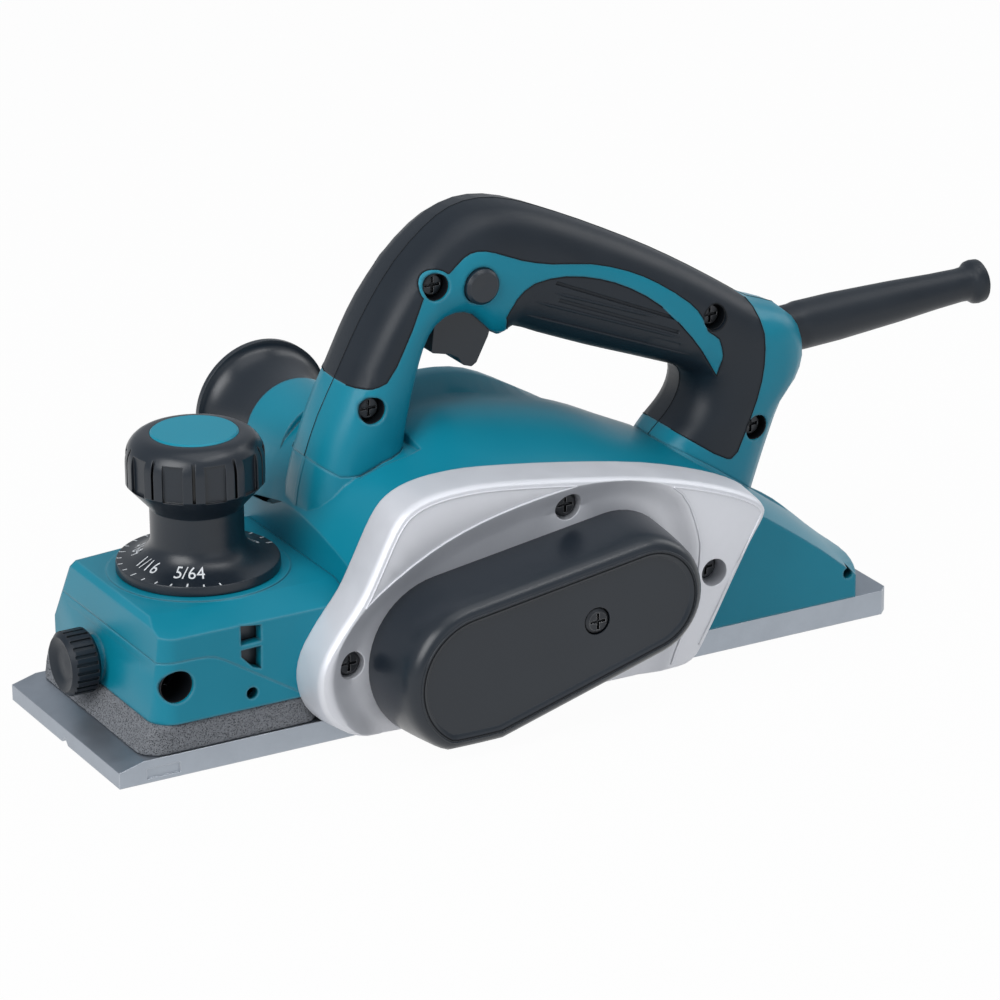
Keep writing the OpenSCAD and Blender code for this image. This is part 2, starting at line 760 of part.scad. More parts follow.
module drive_bracket() {
    color("silver")
    difference() {
        skin([for (q = [[0, 3.6], [0.3, 2.5], [1.2, 1.7], [3, 1.2], [bracket_d, 0]])
            ring_at(inset(bracket_outline, q[1]), face_y + q[0])]);
        // Dish with a coved side and a flat floor
        intersection() {
            skin([for (q = [[-1, -1.4], [0, 0], [0.5, 1.2], [1.6, 3], [2.8, 5.2], [dish_d, 8.6],
                [dish_d + 1, 9]])
                ring_at(inset(dish_outline, q[1]), face_y + q[0])]);
            box(-base_l / 2, base_l / 2, face_y - 2, dish_y, -30, 100);
        }
        for (p = bracket_screw_places) {
            rod_y(p[0], p[1], bracket_head_r + 0.5, face_y - 1, bracket_head_y + 2.4);
            rod_y(p[0], p[1], screw_r + 0.1, face_y - 1, -side_y + 1);
        }
        rod_y(cover_screw[0], cover_screw[1], screw_r, face_y, dish_y + 8);
        // Seats of the near bearings, and the way out for both shafts
        rod_y(drum_x, drum_z, drum_bearing_r, bearing_y, -side_y + 1);
        rod_y(drum_x, drum_z, drum_shaft_r + 1, face_y - 1, -side_y + 1);
        rod_y(motor_x, motor_z, motor_bearing_r, bearing_y, -side_y + 1);
        rod_y(motor_x, motor_z, motor_shaft_r + 1, face_y - 1, -side_y + 1);
    }
}

// A cross-head screw along Y: head at y0, shank to y1
module cross_screw(x, z, y0, y1, r_head, r_shank) {
    translate([x, y0, z])
        rotate([-90, 0, 0])
            difference() {
                union() {
                    rotate_extrude()
                        polygon([[0, 0], [r_head - 1, 0], [r_head, 0.8], [r_head, 2.4], [0, 2.4]]);
                    cylinder(r = r_shank, h = y1 - y0);
                }
                cross_slot(r_head * 1.3, 1, 1.4);
            }
}

module bracket_screws() {
    color("black")
    for (p = bracket_screw_places)
        cross_screw(p[0], p[1], bracket_head_y, -side_y + 8, bracket_head_r, screw_r);
}

// Belt cover: two arcs round the axes with straight flanks and a flat foot
cover_drum_r = 25;
cover_motor_r = 20;
cover_drop = 2;
cover_foot_z = 4;
cover_screw = [9.2, 37.1];

function cover_outline(d) =
    let (a = [drum_x - 0.5, drum_z - cover_drop], b = [motor_x + 0.5, motor_z - cover_drop],
        l = norm(b - a), lean = atan2(b[1] - a[1], b[0] - a[0]),
        t = acos((cover_drum_r - cover_motor_r) / l))
    [for (q = concat(
        [for (k = [0 : 22]) let (g = lean - t + 2 * t * k / 22)
            b + (cover_motor_r - d) * [cos(g), sin(g)]],
        [for (k = [0 : 30]) let (g = lean + t + (360 - 2 * t) * k / 30)
            a + (cover_drum_r - d) * [cos(g), sin(g)]]))
        [q[0], q[1] > cover_foot_z + d ? q[1] : lerp(cover_foot_z + d, q[1], 0.06)]];

module belt_cover() {
    color("black")
    difference() {
        union() {
            difference() {
                skin([for (q = [[1, 5.4], [0.4, 4.8], [0, 3.8], [0, 3], [0.4, 1.9], [1.6, 0.6],
                    [3.4, -0.3], [7, -0.9], [17, -2], [cover_d, -2.6]])
                    ring_at(cover_outline(q[1]), cover_y + q[0])]);
                plate_y(cover_y + 1 + cover_wall, dish_y + 1)
                    polygon(cover_outline(cover_wall - 0.9));
            }
            // Post that the cover's screw passes through
            rod_y(cover_screw[0], cover_screw[1], bracket_head_r + 1.8, cover_y + 2, cover_y + 5);
            rod_y(cover_screw[0], cover_screw[1], screw_r + 2, cover_y + 4, dish_y);
        }
        rod_y(cover_screw[0], cover_screw[1], bracket_head_r + 0.4, cover_y - 1, cover_y + 3);
        rod_y(cover_screw[0], cover_screw[1], screw_r + 0.1, cover_y, dish_y + 1);
    }
}

module belt_cover_screw() {
    color("black")
    cross_screw(cover_screw[0], cover_screw[1], cover_y + 0.6, dish_y + 6, bracket_head_r, screw_r - 0.1);
}

// -------------------------------------------------------------- motor housing

duct_x = drum_x - 2;
duct_z = 70;
duct_r = 18;
// Where the nozzle is pushed onto the duct
nozzle_y = far_y + 0.3;

// Outline of the far side plate, above the reach of a rebate
module far_outline() {
    offset(4)
        offset(-4)
            polygon([[housing_x + 2, 10.5], [housing_x + 2, 58], [-50, 72], [-36, 78], [-18, 81], [0, 81],
                [24, 74], [46, 64], [64, 53], [72, 40], [72, 10.5]]);
}

// Both legs of the handle down to the housing
module handle_feet() {
    for (side = [-1, 1]) {
        half_handle(side, 0, 0, 5);
        half_handle(side, 0, 22, 26);
    }
}

module motor_housing() {
    color("teal")
    difference() {
        union() {
            difference() {
                hood();
                foot_seats();
            }
            intersection() {
                handle_feet();
                below_joint();
            }
            plate_y(side_y - 1, far_y)
                far_outline();
            rod_y(duct_x, duct_z, duct_r, side_y - 16, nozzle_y);
        }
        drum_room(mouth_r);
        rod_y(drum_x, drum_z, mouth_r, side_y, side_y + 0.7);
        // Room for the front base to rise into
        box(housing_x - 1, drum_x, -side_y - 1, side_y + 0.7, rear_t - 1,
            front_t + depth_max + clear);
        // Seat of the drum's far bearing
        rod_y(drum_x, drum_z, far_bearing_r, side_y, far_y - 1);
        // Motor room, open at both ends
        rod_y(motor_x, motor_z, stator_r + 0.2, -side_y - 1, far_y + 1);
        // Chip way from the drum up to the nozzle
        rod_y(duct_x, duct_z, nozzle_bore_r, foot_seat_w + 2, far_y + 4);
        box(duct_x - 12, duct_x + 12, -side_y + 12, side_y - 5, drum_z + 16, duct_z);
        foot_room(rear_t - 1, foot_pin_z + 7);
        rod_y(foot_x, foot_pin_z, foot_pin_r, foot_y - 10, foot_y + 8);
        for (p = base_screw_places)
            translate([p[0], p[1], 0])
                cylinder(r = screw_r - 0.05, h = base_screw_l);
        for (p = bracket_screw_places)
            rod_y(p[0], p[1], screw_r, -side_y - 1, -side_y + 8);
        rod_y(126, 17.6, 2, -side_y - 2, -side_y + 6);
    }
}

far_bearing_r = 9.5;
far_bearing_w = 6;
foot_pin_r = 2;

// Motor end cover on the far side with a ring of air slots
cover_flange_r = 31.5;
end_cover_t = 3.4;
end_boss_r = 13;

module end_cover() {
    color("darkslategray")
    difference() {
        union() {
            rod_y(motor_x, motor_z, cover_flange_r, far_y, far_y + end_cover_t);
            rod_y(motor_x, motor_z, end_boss_r, far_y - far_bearing_w, far_y + 1);
            rod_y(motor_x, motor_z, end_boss_r + 2, far_y + 1, far_y + end_cover_t + 1.2);
        }
        rod_y(motor_x, motor_z, far_bearing_r, far_y - far_bearing_w - 1, far_y + EPS);
        for (k = [0 : 17])
            translate([motor_x, far_y - 1, motor_z])
                rotate([0, 20 * k, 0])
                    translate([end_boss_r + 4, 0, -1.3])
                        cube([10, end_cover_t + 3, 2.6]);
        for (p = end_screw_places)
            rod_y(p[0], p[1], screw_r + 0.1, far_y - 1, far_y + end_cover_t + 1);
    }
}

end_screw_places = [for (a = [50, 140, 230, 320]) [motor_x + 29.6 * cos(a), motor_z + 29.6 * sin(a)]];

module end_cover_screws() {
    color("dimgray")
    for (p = end_screw_places)
        translate([p[0], far_y + end_cover_t, p[1]])
            rotate([90, 0, 0])
                difference() {
                    union() {
                        translate([0, 0, -1.8])
                            cylinder(r = 3, h = 1.8);
                        cylinder(r = screw_r, h = end_cover_t);
                    }
                    translate([0, 0, -1.8])
                        cross_slot(4, 0.8, 1);
                }
}

// ---------------------------------------------------------------- chip nozzle

module chip_nozzle() {
    color("darkslategray")
    turn_y(duct_x, duct_z, nozzle_y, concat(
        [[nozzle_bore_r, 0], [duct_r - 1, 0], [duct_r - 1.4, 4]],
        [for (k = [1 : 10]) let (a = 90 * k / 10)
            [duct_r - 1.4 + (nozzle_r - duct_r + 1.4) * (1 - cos(a)),
                4 + (nozzle_l - 6) * sin(a)]],
        [[nozzle_r, nozzle_l], [nozzle_r - 1.6, nozzle_l]],
        [for (k = [10 : -1 : 0]) let (a = 90 * k / 10)
            [nozzle_bore_r + (nozzle_r - nozzle_bore_r - 2) * (1 - cos(a)),
                8 + (nozzle_l - 10) * sin(a)]]));
}

// --------------------------------------------------------------------- cutter

drum_r = cut_r - blade_rise;
drum_y0 = -side_y + 1;
drum_y1 = side_y;
blade_t = 1.2;
blade_l = 14;
clamp_t = 5;
clamp_back = 2;
bolt_head_t = 2.5;
pulley_y1 = dish_y - 5.5;
pulley_y0 = pulley_y1 - belt_w - 2;
shaft_y0 = pulley_y0 - 1.6;

// Places its children on one blade seat: x along the blade to its edge, z into the gullet
module at_blade(k) {
    translate([drum_x, 0, drum_z])
        rotate([0, 180 * k + 25, 0])
            translate([0, 0, cut_r])
                rotate([0, 45, 0])
                    children();
}

// The blade plane runs from the edge back and down, and the gullet lies ahead of it
module seat_box(s0, s1, t0, t1, y0, y1) {
    rotate([0, -90, 0])
        box(s0, s1, y0, y1, -t1, -t0);
}

module cutter_drum() {
    color("silver")
    difference() {
        union() {
            difference() {
                rod_y(drum_x, drum_z, drum_r, drum_y0, drum_y1);
                // Recess in the near end
                rod_y(drum_x, drum_z, drum_bearing_r - 2, drum_y0 - 1, drum_y0 + 3);
            }
            rod_y(drum_x, drum_z, drum_shaft_r, shaft_y0, side_y + 0.7 + far_bearing_w - 0.3);
        }
        for (k = [0, 1])
            at_blade(k) {
                seat_box(-blade_l - 0.1, 14, 0, clamp_t + blade_t + bolt_head_t + 0.8, -side_y - 1,
                    side_y + 1);
                for (y = bolt_y)
                    translate([0, y, 0])
                        seat_rod(-8, -9, 1);
            }
    }
}

bolt_y = [-30, 0, 30];
bolt_r = 2.2;

// A bolt hole across the blade plane at distance s along it
module seat_rod(s, t0, t1, r = bolt_r) {
    rotate([0, -90, 0])
        translate([s, 0, -t1])
            cylinder(r = r, h = t1 - t0);
}

module planer_blades() {
    color("silver")
    for (k = [0, 1])
        at_blade(k)
            rotate([90, 0, 0])
                translate([0, 0, -side_y])
                    linear_extrude(base_w - 1)
                        polygon([[0, -blade_l], [0, 0], [0.15, 0], [blade_t, -1.3],
                            [blade_t, -blade_l]]);
}

module blade_clamps() {
    color("dimgray")
    for (k = [0, 1])
        intersection() {
            at_blade(k)
                difference() {
                    seat_box(-blade_l, -clamp_back, blade_t, blade_t + clamp_t, -side_y + 1.4, side_y - 0.4);
                    for (y = bolt_y)
                        translate([0, y, 0])
                            seat_rod(-8, -1, 12);
                }
            rod_y(drum_x, drum_z, drum_r - 0.3, -side_y, side_y);
        }
}

module clamp_bolts() {
    color("black")
    for (k = [0, 1])
        at_blade(k)
            for (y = bolt_y)
                translate([0, y, 0])
                    difference() {
                        union() {
                            seat_rod(-8, blade_t + 0.02, blade_t + clamp_t + 0.02);
                            seat_rod(-8, blade_t + clamp_t, blade_t + clamp_t + bolt_head_t, 3.6);
                        }
                        rotate([0, -90, 0])
                            translate([-8, 0, -blade_t - clamp_t - bolt_head_t - EPS])
                                cylinder(r = 1.8, h = 1.4, $fn = 6);
                    }
}

// A ball bearing along Y from y0: two races joined by a thin shield
module bearing(x, z, r_in, r_out, y0, w) {
    translate([x, y0, z])
        rotate([-90, 0, 0])
            rotate_extrude()
                polygon([[r_in, 0], [r_in + 1.6, 0], [r_in + 1.6, 0.4], [r_out - 1.6, 0.4],
                    [r_out - 1.6, 0], [r_out, 0], [r_out, w], [r_out - 1.6, w],
                    [r_out - 1.6, w - 0.4], [r_in + 1.6, w - 0.4], [r_in + 1.6, w], [r_in, w]]);
}

module drum_bearings() {
    color("lightgray") {
        bearing(drum_x, drum_z, drum_shaft_r + fit, drum_bearing_r, bearing_y, bearing_w);
        bearing(drum_x, drum_z, drum_shaft_r + fit, far_bearing_r, side_y + 0.7, far_bearing_w);
    }
}

// --------------------------------------------------------------- belt drive

// Pulley with a flange at each end and fine ribs under the belt
module pulley(x, z, r, r_shaft, flange) {
    turn_y(x, z, pulley_y0, concat(
        [[r_shaft, 0], [r + flange, 0], [r + flange, 1], [r, 1]],
        [for (k = [0 : 4]) each [[r, 1.6 + k * belt_w / 5], [r - 0.8, 2.4 + k * belt_w / 5],
            [r, 3.2 + k * belt_w / 5]]],
        [[r, belt_w + 1.8], [r + flange, belt_w + 1.8], [r + flange, belt_w + 2.6],
            [r_shaft, belt_w + 2.6]]));
}

module drum_pulley() {
    color("gray")
    pulley(drum_x, drum_z, drum_pulley_r - belt_t / 2, drum_shaft_r, 1.6);
}

module motor_pulley() {
    color("gray")
    pulley(motor_x, motor_z, motor_pulley_r - belt_t / 2, motor_shaft_r, 0.8);
}

module belt_outline(grow) {
    hull() {
        translate([drum_x, drum_z])
            circle(drum_pulley_r + grow);
        translate([motor_x, motor_z])
            circle(motor_pulley_r + grow);
    }
}

module drive_belt() {
    color("black")
    plate_y(pulley_y0 + 1.3, pulley_y0 + 1.3 + belt_w)
        difference() {
            belt_outline(belt_t / 2 + 0.15);
            belt_outline(-belt_t / 2 + 0.15);
        }
}

// ---------------------------------------------------------------------- motor

stack_y0 = -stator_l / 2 - 3;
stack_y1 = stack_y0 + stator_l;
commutator_y0 = stack_y1 + 8;
commutator_l = 12;
commutator_r = 11;

module armature_shaft() {
    color("silver")
    rod_y(motor_x, motor_z, motor_shaft_r, shaft_y0, far_y - 0.6);
}

module armature_core() {
    color("dimgray")
    difference() {
        rod_y(motor_x, motor_z, armature_r, stack_y0, stack_y1);
        rod_y(motor_x, motor_z, motor_shaft_r, stack_y0 - 1, stack_y1 + 1);
        for (k = [0 : 11])
            translate([motor_x, 0, motor_z])
                rotate([0, 30 * k, 0])
                    translate([armature_r - 1.6, stack_y0 - 1, -0.8])
                        cube([3, stator_l + 2, 1.6]);
    }
}

module commutator() {
    color("chocolate")
    difference() {
        rod_y(motor_x, motor_z, commutator_r, commutator_y0, commutator_y0 + commutator_l);
        rod_y(motor_x, motor_z, motor_shaft_r, commutator_y0 - 1, commutator_y0 + commutator_l + 1);
    }
}

fan_y0 = -side_y + 3;
fan_l = 11;

module cooling_fan() {
    color("black")
    difference() {
        union() {
            rod_y(motor_x, motor_z, fan_r, fan_y0, fan_y0 + 1.6);
            rod_y(motor_x, motor_z, 8, fan_y0, fan_y0 + fan_l);
            translate([motor_x, fan_y0, motor_z])
                for (k = [0 : 14])
                    rotate([0, 24 * k, 0])
                        translate([14, 0.8, -0.7])
                            cube([fan_r - 14.4, fan_l - 0.8, 1.4]);
        }
        rod_y(motor_x, motor_z, motor_shaft_r, fan_y0 - 1, fan_y0 + fan_l + 1);
    }
}

module motor_bearings() {
    color("lightgray") {
        bearing(motor_x, motor_z, motor_shaft_r + fit, motor_bearing_r, bearing_y, bearing_w);
        bearing(motor_x, motor_z, motor_shaft_r + fit, far_bearing_r, far_y - far_bearing_w,
            far_bearing_w);
    }
}

module stator_core() {
    color("dimgray")
    difference() {
        rod_y(motor_x, motor_z, stator_r, stack_y0, stack_y1);
        rod_y(motor_x, motor_z, armature_r + 0.6, stack_y0 - 1, stack_y1 + 1);
        // Windows for the field coils above and below the poles
        for (a = [0, 180])
            translate([motor_x, 0, motor_z])
                rotate([0, a, 0])
                    box(armature_r + 1.4, stator_r - 3.6, stack_y0 - 1, stack_y1 + 1, -9, 9);
    }
}

module stator_coils() {
    color("chocolate")
    for (a = [0, 180])
        translate([motor_x, 0, motor_z])
            rotate([0, a, 0])
                difference() {
                    box(armature_r + 1.5, stator_r - 3.7, stack_y0 - 4, stack_y1 + 4, -8.9, 8.9);
                    box(armature_r, stator_r, stack_y0 + 6, stack_y1 - 6, -3, 3);
                }
}

module brush_holders() {
    color("goldenrod")
    for (a = [0, 180])
        translate([motor_x, commutator_y0 + commutator_l / 2, motor_z])
            rotate([0, a, 0])
                difference() {
                    box(commutator_r + 1.5, stator_r - 0.6, -5, 5, -4, 4);
                    box(commutator_r, stator_r - 4, -3.6, 3.6, -2.6, 2.6);
                }
}

module carbon_brushes() {
    color("black")
    for (a = [0, 180])
        translate([motor_x, commutator_y0 + commutator_l / 2, motor_z])
            rotate([0, a, 0])
                difference() {
                    box(commutator_r - 1, commutator_r + 9, -3.5, 3.5, -2.5, 2.5);
                    rod_y(0, 0, commutator_r + 0.1, -10, 10);
                }
}

// --------------------------------------------------------------------- handle

switch_x0 = -1.6;
switch_z0 = 127.8;
trigger_pin = [-7, 126.4];
lock_place = [0.5, 133.4];
handle_screw_places = [[-15.2, 135.3], [88.1, 107.2], [104.4, 65.8], [-38.7, 98.1]];
handle_head_y = -13;
guard_place = [127.5, 91.8];
guard_tilt = 2.6;

// Room inside the handle for the switch, the trigger and the cord guard
module handle_room() {
    plate_y(-trigger_w / 2 - 0.4, trigger_w / 2 + 0.4)
        polygon([[-14.4, 100], [-14.4, 111.5], [-13.2, 120], [-12.2, 131], [-8, 138], [-4, 147.5],
            [27.4, 147.5], [27.4, 127], [14, 124], [11, 119], [11, 100]]);
    rod_y(trigger_pin[0], trigger_pin[1], trigger_pin_r, -13, 13);
    at_guard() {
        cylinder(r = guard_r - 0.6, h = 30, center = true);
        translate([0, 0, -9])
            cylinder(r = guard_r + 1.6, h = 3.2);
    }
}

module handle_left() {
    color("teal")
    difference() {
        half_handle(-1);
        other_half(-1);
        grip_layer(-1, 1);
        below_joint();
        handle_room();
        for (p = handle_screw_places) {
            rod_y(p[0], p[1], 4.5, -half_w - 2, handle_head_y + 2.4);
            rod_y(p[0], p[1], screw_r - 0.2, -half_w, 1);
        }
        rod_y(lock_place[0], lock_place[1], lock_r + 0.25, -half_w - 2, -9);
        rod_y(lock_place[0], lock_place[1], lock_r + 1.4, -14.1, -9);
    }
}

module handle_right() {
    color("teal")
    difference() {
        half_handle(1);
        other_half(1);
        grip_layer(1, 1);
        below_joint();
        handle_room();
        for (p = handle_screw_places)
            rod_y(p[0], p[1], screw_r - 0.2, -1, 9);
    }
}

module grip_left() {
    color("darkslategray")
    difference() {
        grip_layer(-1);
        other_half(-1);
        for (p = handle_screw_places)
            rod_y(p[0], p[1], 4.5, -half_w - 2, -half_w + 5);
        // Long ribs of the side grip
        for (k = [0 : 3])
            translate([46, -half_w - 0.9, 121 - 5.2 * k])
                rotate([0, 24 - 1.2 * k, 0])
                    translate([-20 + 1.6 * k, 0, 0])
                        cube([50 - 1.2 * k, 1.8, 1.1]);
    }
}

module grip_right() {
    color("darkslategray")
    difference() {
        grip_layer(1);
        other_half(1);
        for (k = [0 : 3])
            translate([46, half_w - 0.9, 121 - 5.2 * k])
                rotate([0, 24 - 1.2 * k, 0])
                    translate([-20 + 1.6 * k, 0, 0])
                        cube([50 - 1.2 * k, 1.8, 1.1]);
    }
}

module handle_screws() {
    color("black")
    for (p = handle_screw_places)
        cross_screw(p[0], p[1], handle_head_y, 8.6, 4.2, screw_r - 0.2);
}

guard_r = 8.6;
guard_l = 77;
cord_bore_r = 4.2;

module at_guard() {
    translate([guard_place[0], 0, guard_place[1]])
        rotate([0, 90 - guard_tilt, 0])
            children();
}

module cord_guard() {
    color("black")
    at_guard()
        rotate_extrude()
            polygon([[cord_bore_r, -9], [guard_r + 1.5, -9], [guard_r + 1.5, -6], [guard_r - 0.7, -6],
                [guard_r - 0.7, 1], [guard_r - 0.3, 3.4], [guard_r - 0.4, guard_l * 0.23],
                [guard_r - 1.4, guard_l * 0.54], [guard_r - 2.4, guard_l * 0.75],
                [guard_r - 2.8, guard_l - 9], [guard_r - 2.6, guard_l - 6], [guard_r - 1.2, guard_l - 4],
                [guard_r - 1, guard_l - 2.6], [guard_r - 1.2, guard_l - 0.6],
                [guard_r - 2, guard_l], [cord_bore_r, guard_l]]);
}

module switch_body() {
    color("black")
    box(switch_x0, 27, -9, 9, switch_z0, 147);
}

module trigger() {
    color("darkslategray")
    difference() {
        plate_y(-trigger_w / 2, trigger_w / 2)
            offset(0.9)
                offset(-0.9)
                    polygon([[-11.2, 129.4], [-12.6, 120], [-13.8, 111], [-7, 109.4], [-4, 107.6],
                        [-2.2, 104.9], [0.8, 103.9], [2.6, 105], [6.9, 113.2], [8.6, 118.4],
                        [8.4, 123.4], [-3.2, 124.4], [-3.6, 129.4]]);
        rod_y(trigger_pin[0], trigger_pin[1], trigger_pin_r + fit, -20, 20);
    }
}

module trigger_pin() {
    color("silver")
    rod_y(trigger_pin[0], trigger_pin[1], trigger_pin_r, -12.8, 12.8);
}

module lock_button() {
    color("black")
    translate([lock_place[0], -half_w - 2.2, lock_place[1]])
        rotate([-90, 0, 0])
            rotate_extrude()
                polygon([[0, 0.4], [3, 0.1], [lock_r - 1, 0], [lock_r, 0.9], [lock_r, 5.2],
                    [lock_r + 1.1, 5.2], [lock_r + 1.1, 6.6], [0, 6.6]]);
}

// ------------------------------------------------------------------ rear foot

module rear_foot() {
    color("black")
    difference() {
        plate_y(foot_y - 3.6, foot_y + 3.6)
            offset(1.4)
                offset(-1.4)
                    union() {
                        polygon([[foot_x - 4, foot_pin_z + 3], [foot_x + 3.4, foot_pin_z + 2],
                            [foot_x + 1, foot_pin_z - 4.4], [foot_x - 24, 0.6], [foot_x - 26, 1.8],
                            [foot_x - 25, 6]]);
                        translate([foot_x, foot_pin_z])
                            circle(4.6);
                    }
        rod_y(foot_x, foot_pin_z, foot_pin_r + fit, foot_y - 20, foot_y + 20);
    }
}

module foot_pin() {
    color("silver")
    rod_y(foot_x, foot_pin_z, foot_pin_r, foot_y - 9.8, foot_y + 7.8);
}

// ---------------------------------------------------------------------- nodes

rear_base();
front_base();
foam_seal();
motor_housing();
front_housing();
front_cover();
drive_bracket();
belt_cover();
end_cover();
chip_nozzle();
handle_left();
handle_right();
grip_left();
grip_right();
handle_screws();
bracket_screws();
belt_cover_screw();
base_screws();
end_cover_screws();
cord_guard();
switch_body();
trigger();
trigger_pin();
lock_button();
depth_knob();
knob_cap();
adjusting_screw();
depth_spring();
thumb_screw();
clamp_nut();
cutter_drum();
planer_blades();
blade_clamps();
clamp_bolts();
drum_bearings();
drum_pulley();
drive_belt();
motor_pulley();
armature_shaft();
armature_core();
commutator();
cooling_fan();
motor_bearings();
stator_core();
stator_coils();
brush_holders();
carbon_brushes();
rear_foot();
foot_pin();
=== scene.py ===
"""Electric hand planer: finishes, dial marks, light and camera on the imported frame."""
import json
import math

import bpy
import bmesh
from mathutils import Matrix, Vector, noise
from mathutils.bvhtree import BVHTree


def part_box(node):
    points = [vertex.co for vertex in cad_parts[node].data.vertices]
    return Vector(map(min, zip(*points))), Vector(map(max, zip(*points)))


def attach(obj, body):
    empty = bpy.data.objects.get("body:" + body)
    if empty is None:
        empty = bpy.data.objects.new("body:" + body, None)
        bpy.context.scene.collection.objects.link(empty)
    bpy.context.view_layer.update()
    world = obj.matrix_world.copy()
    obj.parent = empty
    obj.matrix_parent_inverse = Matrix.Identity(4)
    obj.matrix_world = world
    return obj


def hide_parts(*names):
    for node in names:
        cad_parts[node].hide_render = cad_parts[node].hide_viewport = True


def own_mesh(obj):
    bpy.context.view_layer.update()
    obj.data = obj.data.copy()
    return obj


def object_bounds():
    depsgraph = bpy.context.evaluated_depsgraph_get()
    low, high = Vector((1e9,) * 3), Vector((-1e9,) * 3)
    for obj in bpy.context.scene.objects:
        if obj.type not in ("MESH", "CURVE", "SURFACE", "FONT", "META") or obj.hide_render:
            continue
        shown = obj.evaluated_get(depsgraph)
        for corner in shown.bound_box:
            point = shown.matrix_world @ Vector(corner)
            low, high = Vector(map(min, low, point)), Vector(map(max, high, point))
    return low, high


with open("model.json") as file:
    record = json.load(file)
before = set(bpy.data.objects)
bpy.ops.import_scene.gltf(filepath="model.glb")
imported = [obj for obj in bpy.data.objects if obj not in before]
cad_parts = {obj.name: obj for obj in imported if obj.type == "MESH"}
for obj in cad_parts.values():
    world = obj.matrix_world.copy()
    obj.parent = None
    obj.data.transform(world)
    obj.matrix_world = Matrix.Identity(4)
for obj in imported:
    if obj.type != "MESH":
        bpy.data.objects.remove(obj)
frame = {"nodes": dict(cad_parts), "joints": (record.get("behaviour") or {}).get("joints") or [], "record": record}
cad_low, cad_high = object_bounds()
nodes = frame["nodes"]
MM = 0.001
SAME_POINT = 1e-6  # metres within which two corners are one


def srgb(r, g, b):
    """A colour as a screen shows it, 0 to 255, in the linear values that a shader takes."""
    def linear(c):
        c /= 255
        return c / 12.92 if c <= 0.04045 else ((c + 0.055) / 1.055) ** 2.4
    return (linear(r), linear(g), linear(b), 1)


# ------------------------------------------------------------- shader sums

# 1 less the cosine between the rounded normal and the flat one: the rim starts, and is full
RIM_TURN = (0.004, 0.12)
SHUT_IN = (0.28, 0.64)  # share of open sky in a deep hole, and where the surface counts as open, for the painted shade in hollows


class Value:
    """What one node gives to others; sums on it add Math nodes."""

    def __init__(self, maker, socket):
        self.maker = maker
        self.socket = socket

    def sum(self, operation, a, b):
        return self.maker.add("ShaderNodeMath", {"operation": operation}, {0: a, 1: b})

    def __add__(self, b):
        return self.sum("ADD", self, b)

    __radd__ = __add__

    def __sub__(self, b):
        return self.sum("SUBTRACT", self, b)

    def __rsub__(self, a):
        return self.sum("SUBTRACT", a, self)

    def __mul__(self, b):
        return self.sum("MULTIPLY", self, b)

    __rmul__ = __mul__

    def low(self, b):
        return self.sum("MINIMUM", self, b)

    def size(self):
        return self.sum("ABSOLUTE", self, 0)

    def ramp(self, start, end):
        """0 up to start, 1 from end on, and a soft step between them."""
        return self.maker.add("ShaderNodeMapRange", {"interpolation_type": "SMOOTHSTEP"},
                              {"Value": self, "From Min": start, "From Max": end})


class Maker:
    """Adds nodes to one tree: a material's, the world's or a modifier's."""

    def __init__(self, tree):
        self.tree = tree

    def link(self, node, name, value):
        """Gives one input of a node a value, or a link from another node."""
        if isinstance(value, Value):
            self.tree.links.new(value.socket, node.inputs[name])
        else:
            node.inputs[name].default_value = value

    def add(self, kind, settings=None, inputs=None, out=0):
        """Any node: its type, its settings, then its inputs as values or links."""
        node = self.tree.nodes.new(kind)
        for name, value in (settings or {}).items():
            setattr(node, name, value)
        for name, value in (inputs or {}).items():
            self.link(node, name, value)
        return Value(self, node.outputs[out]) if len(node.outputs) else None


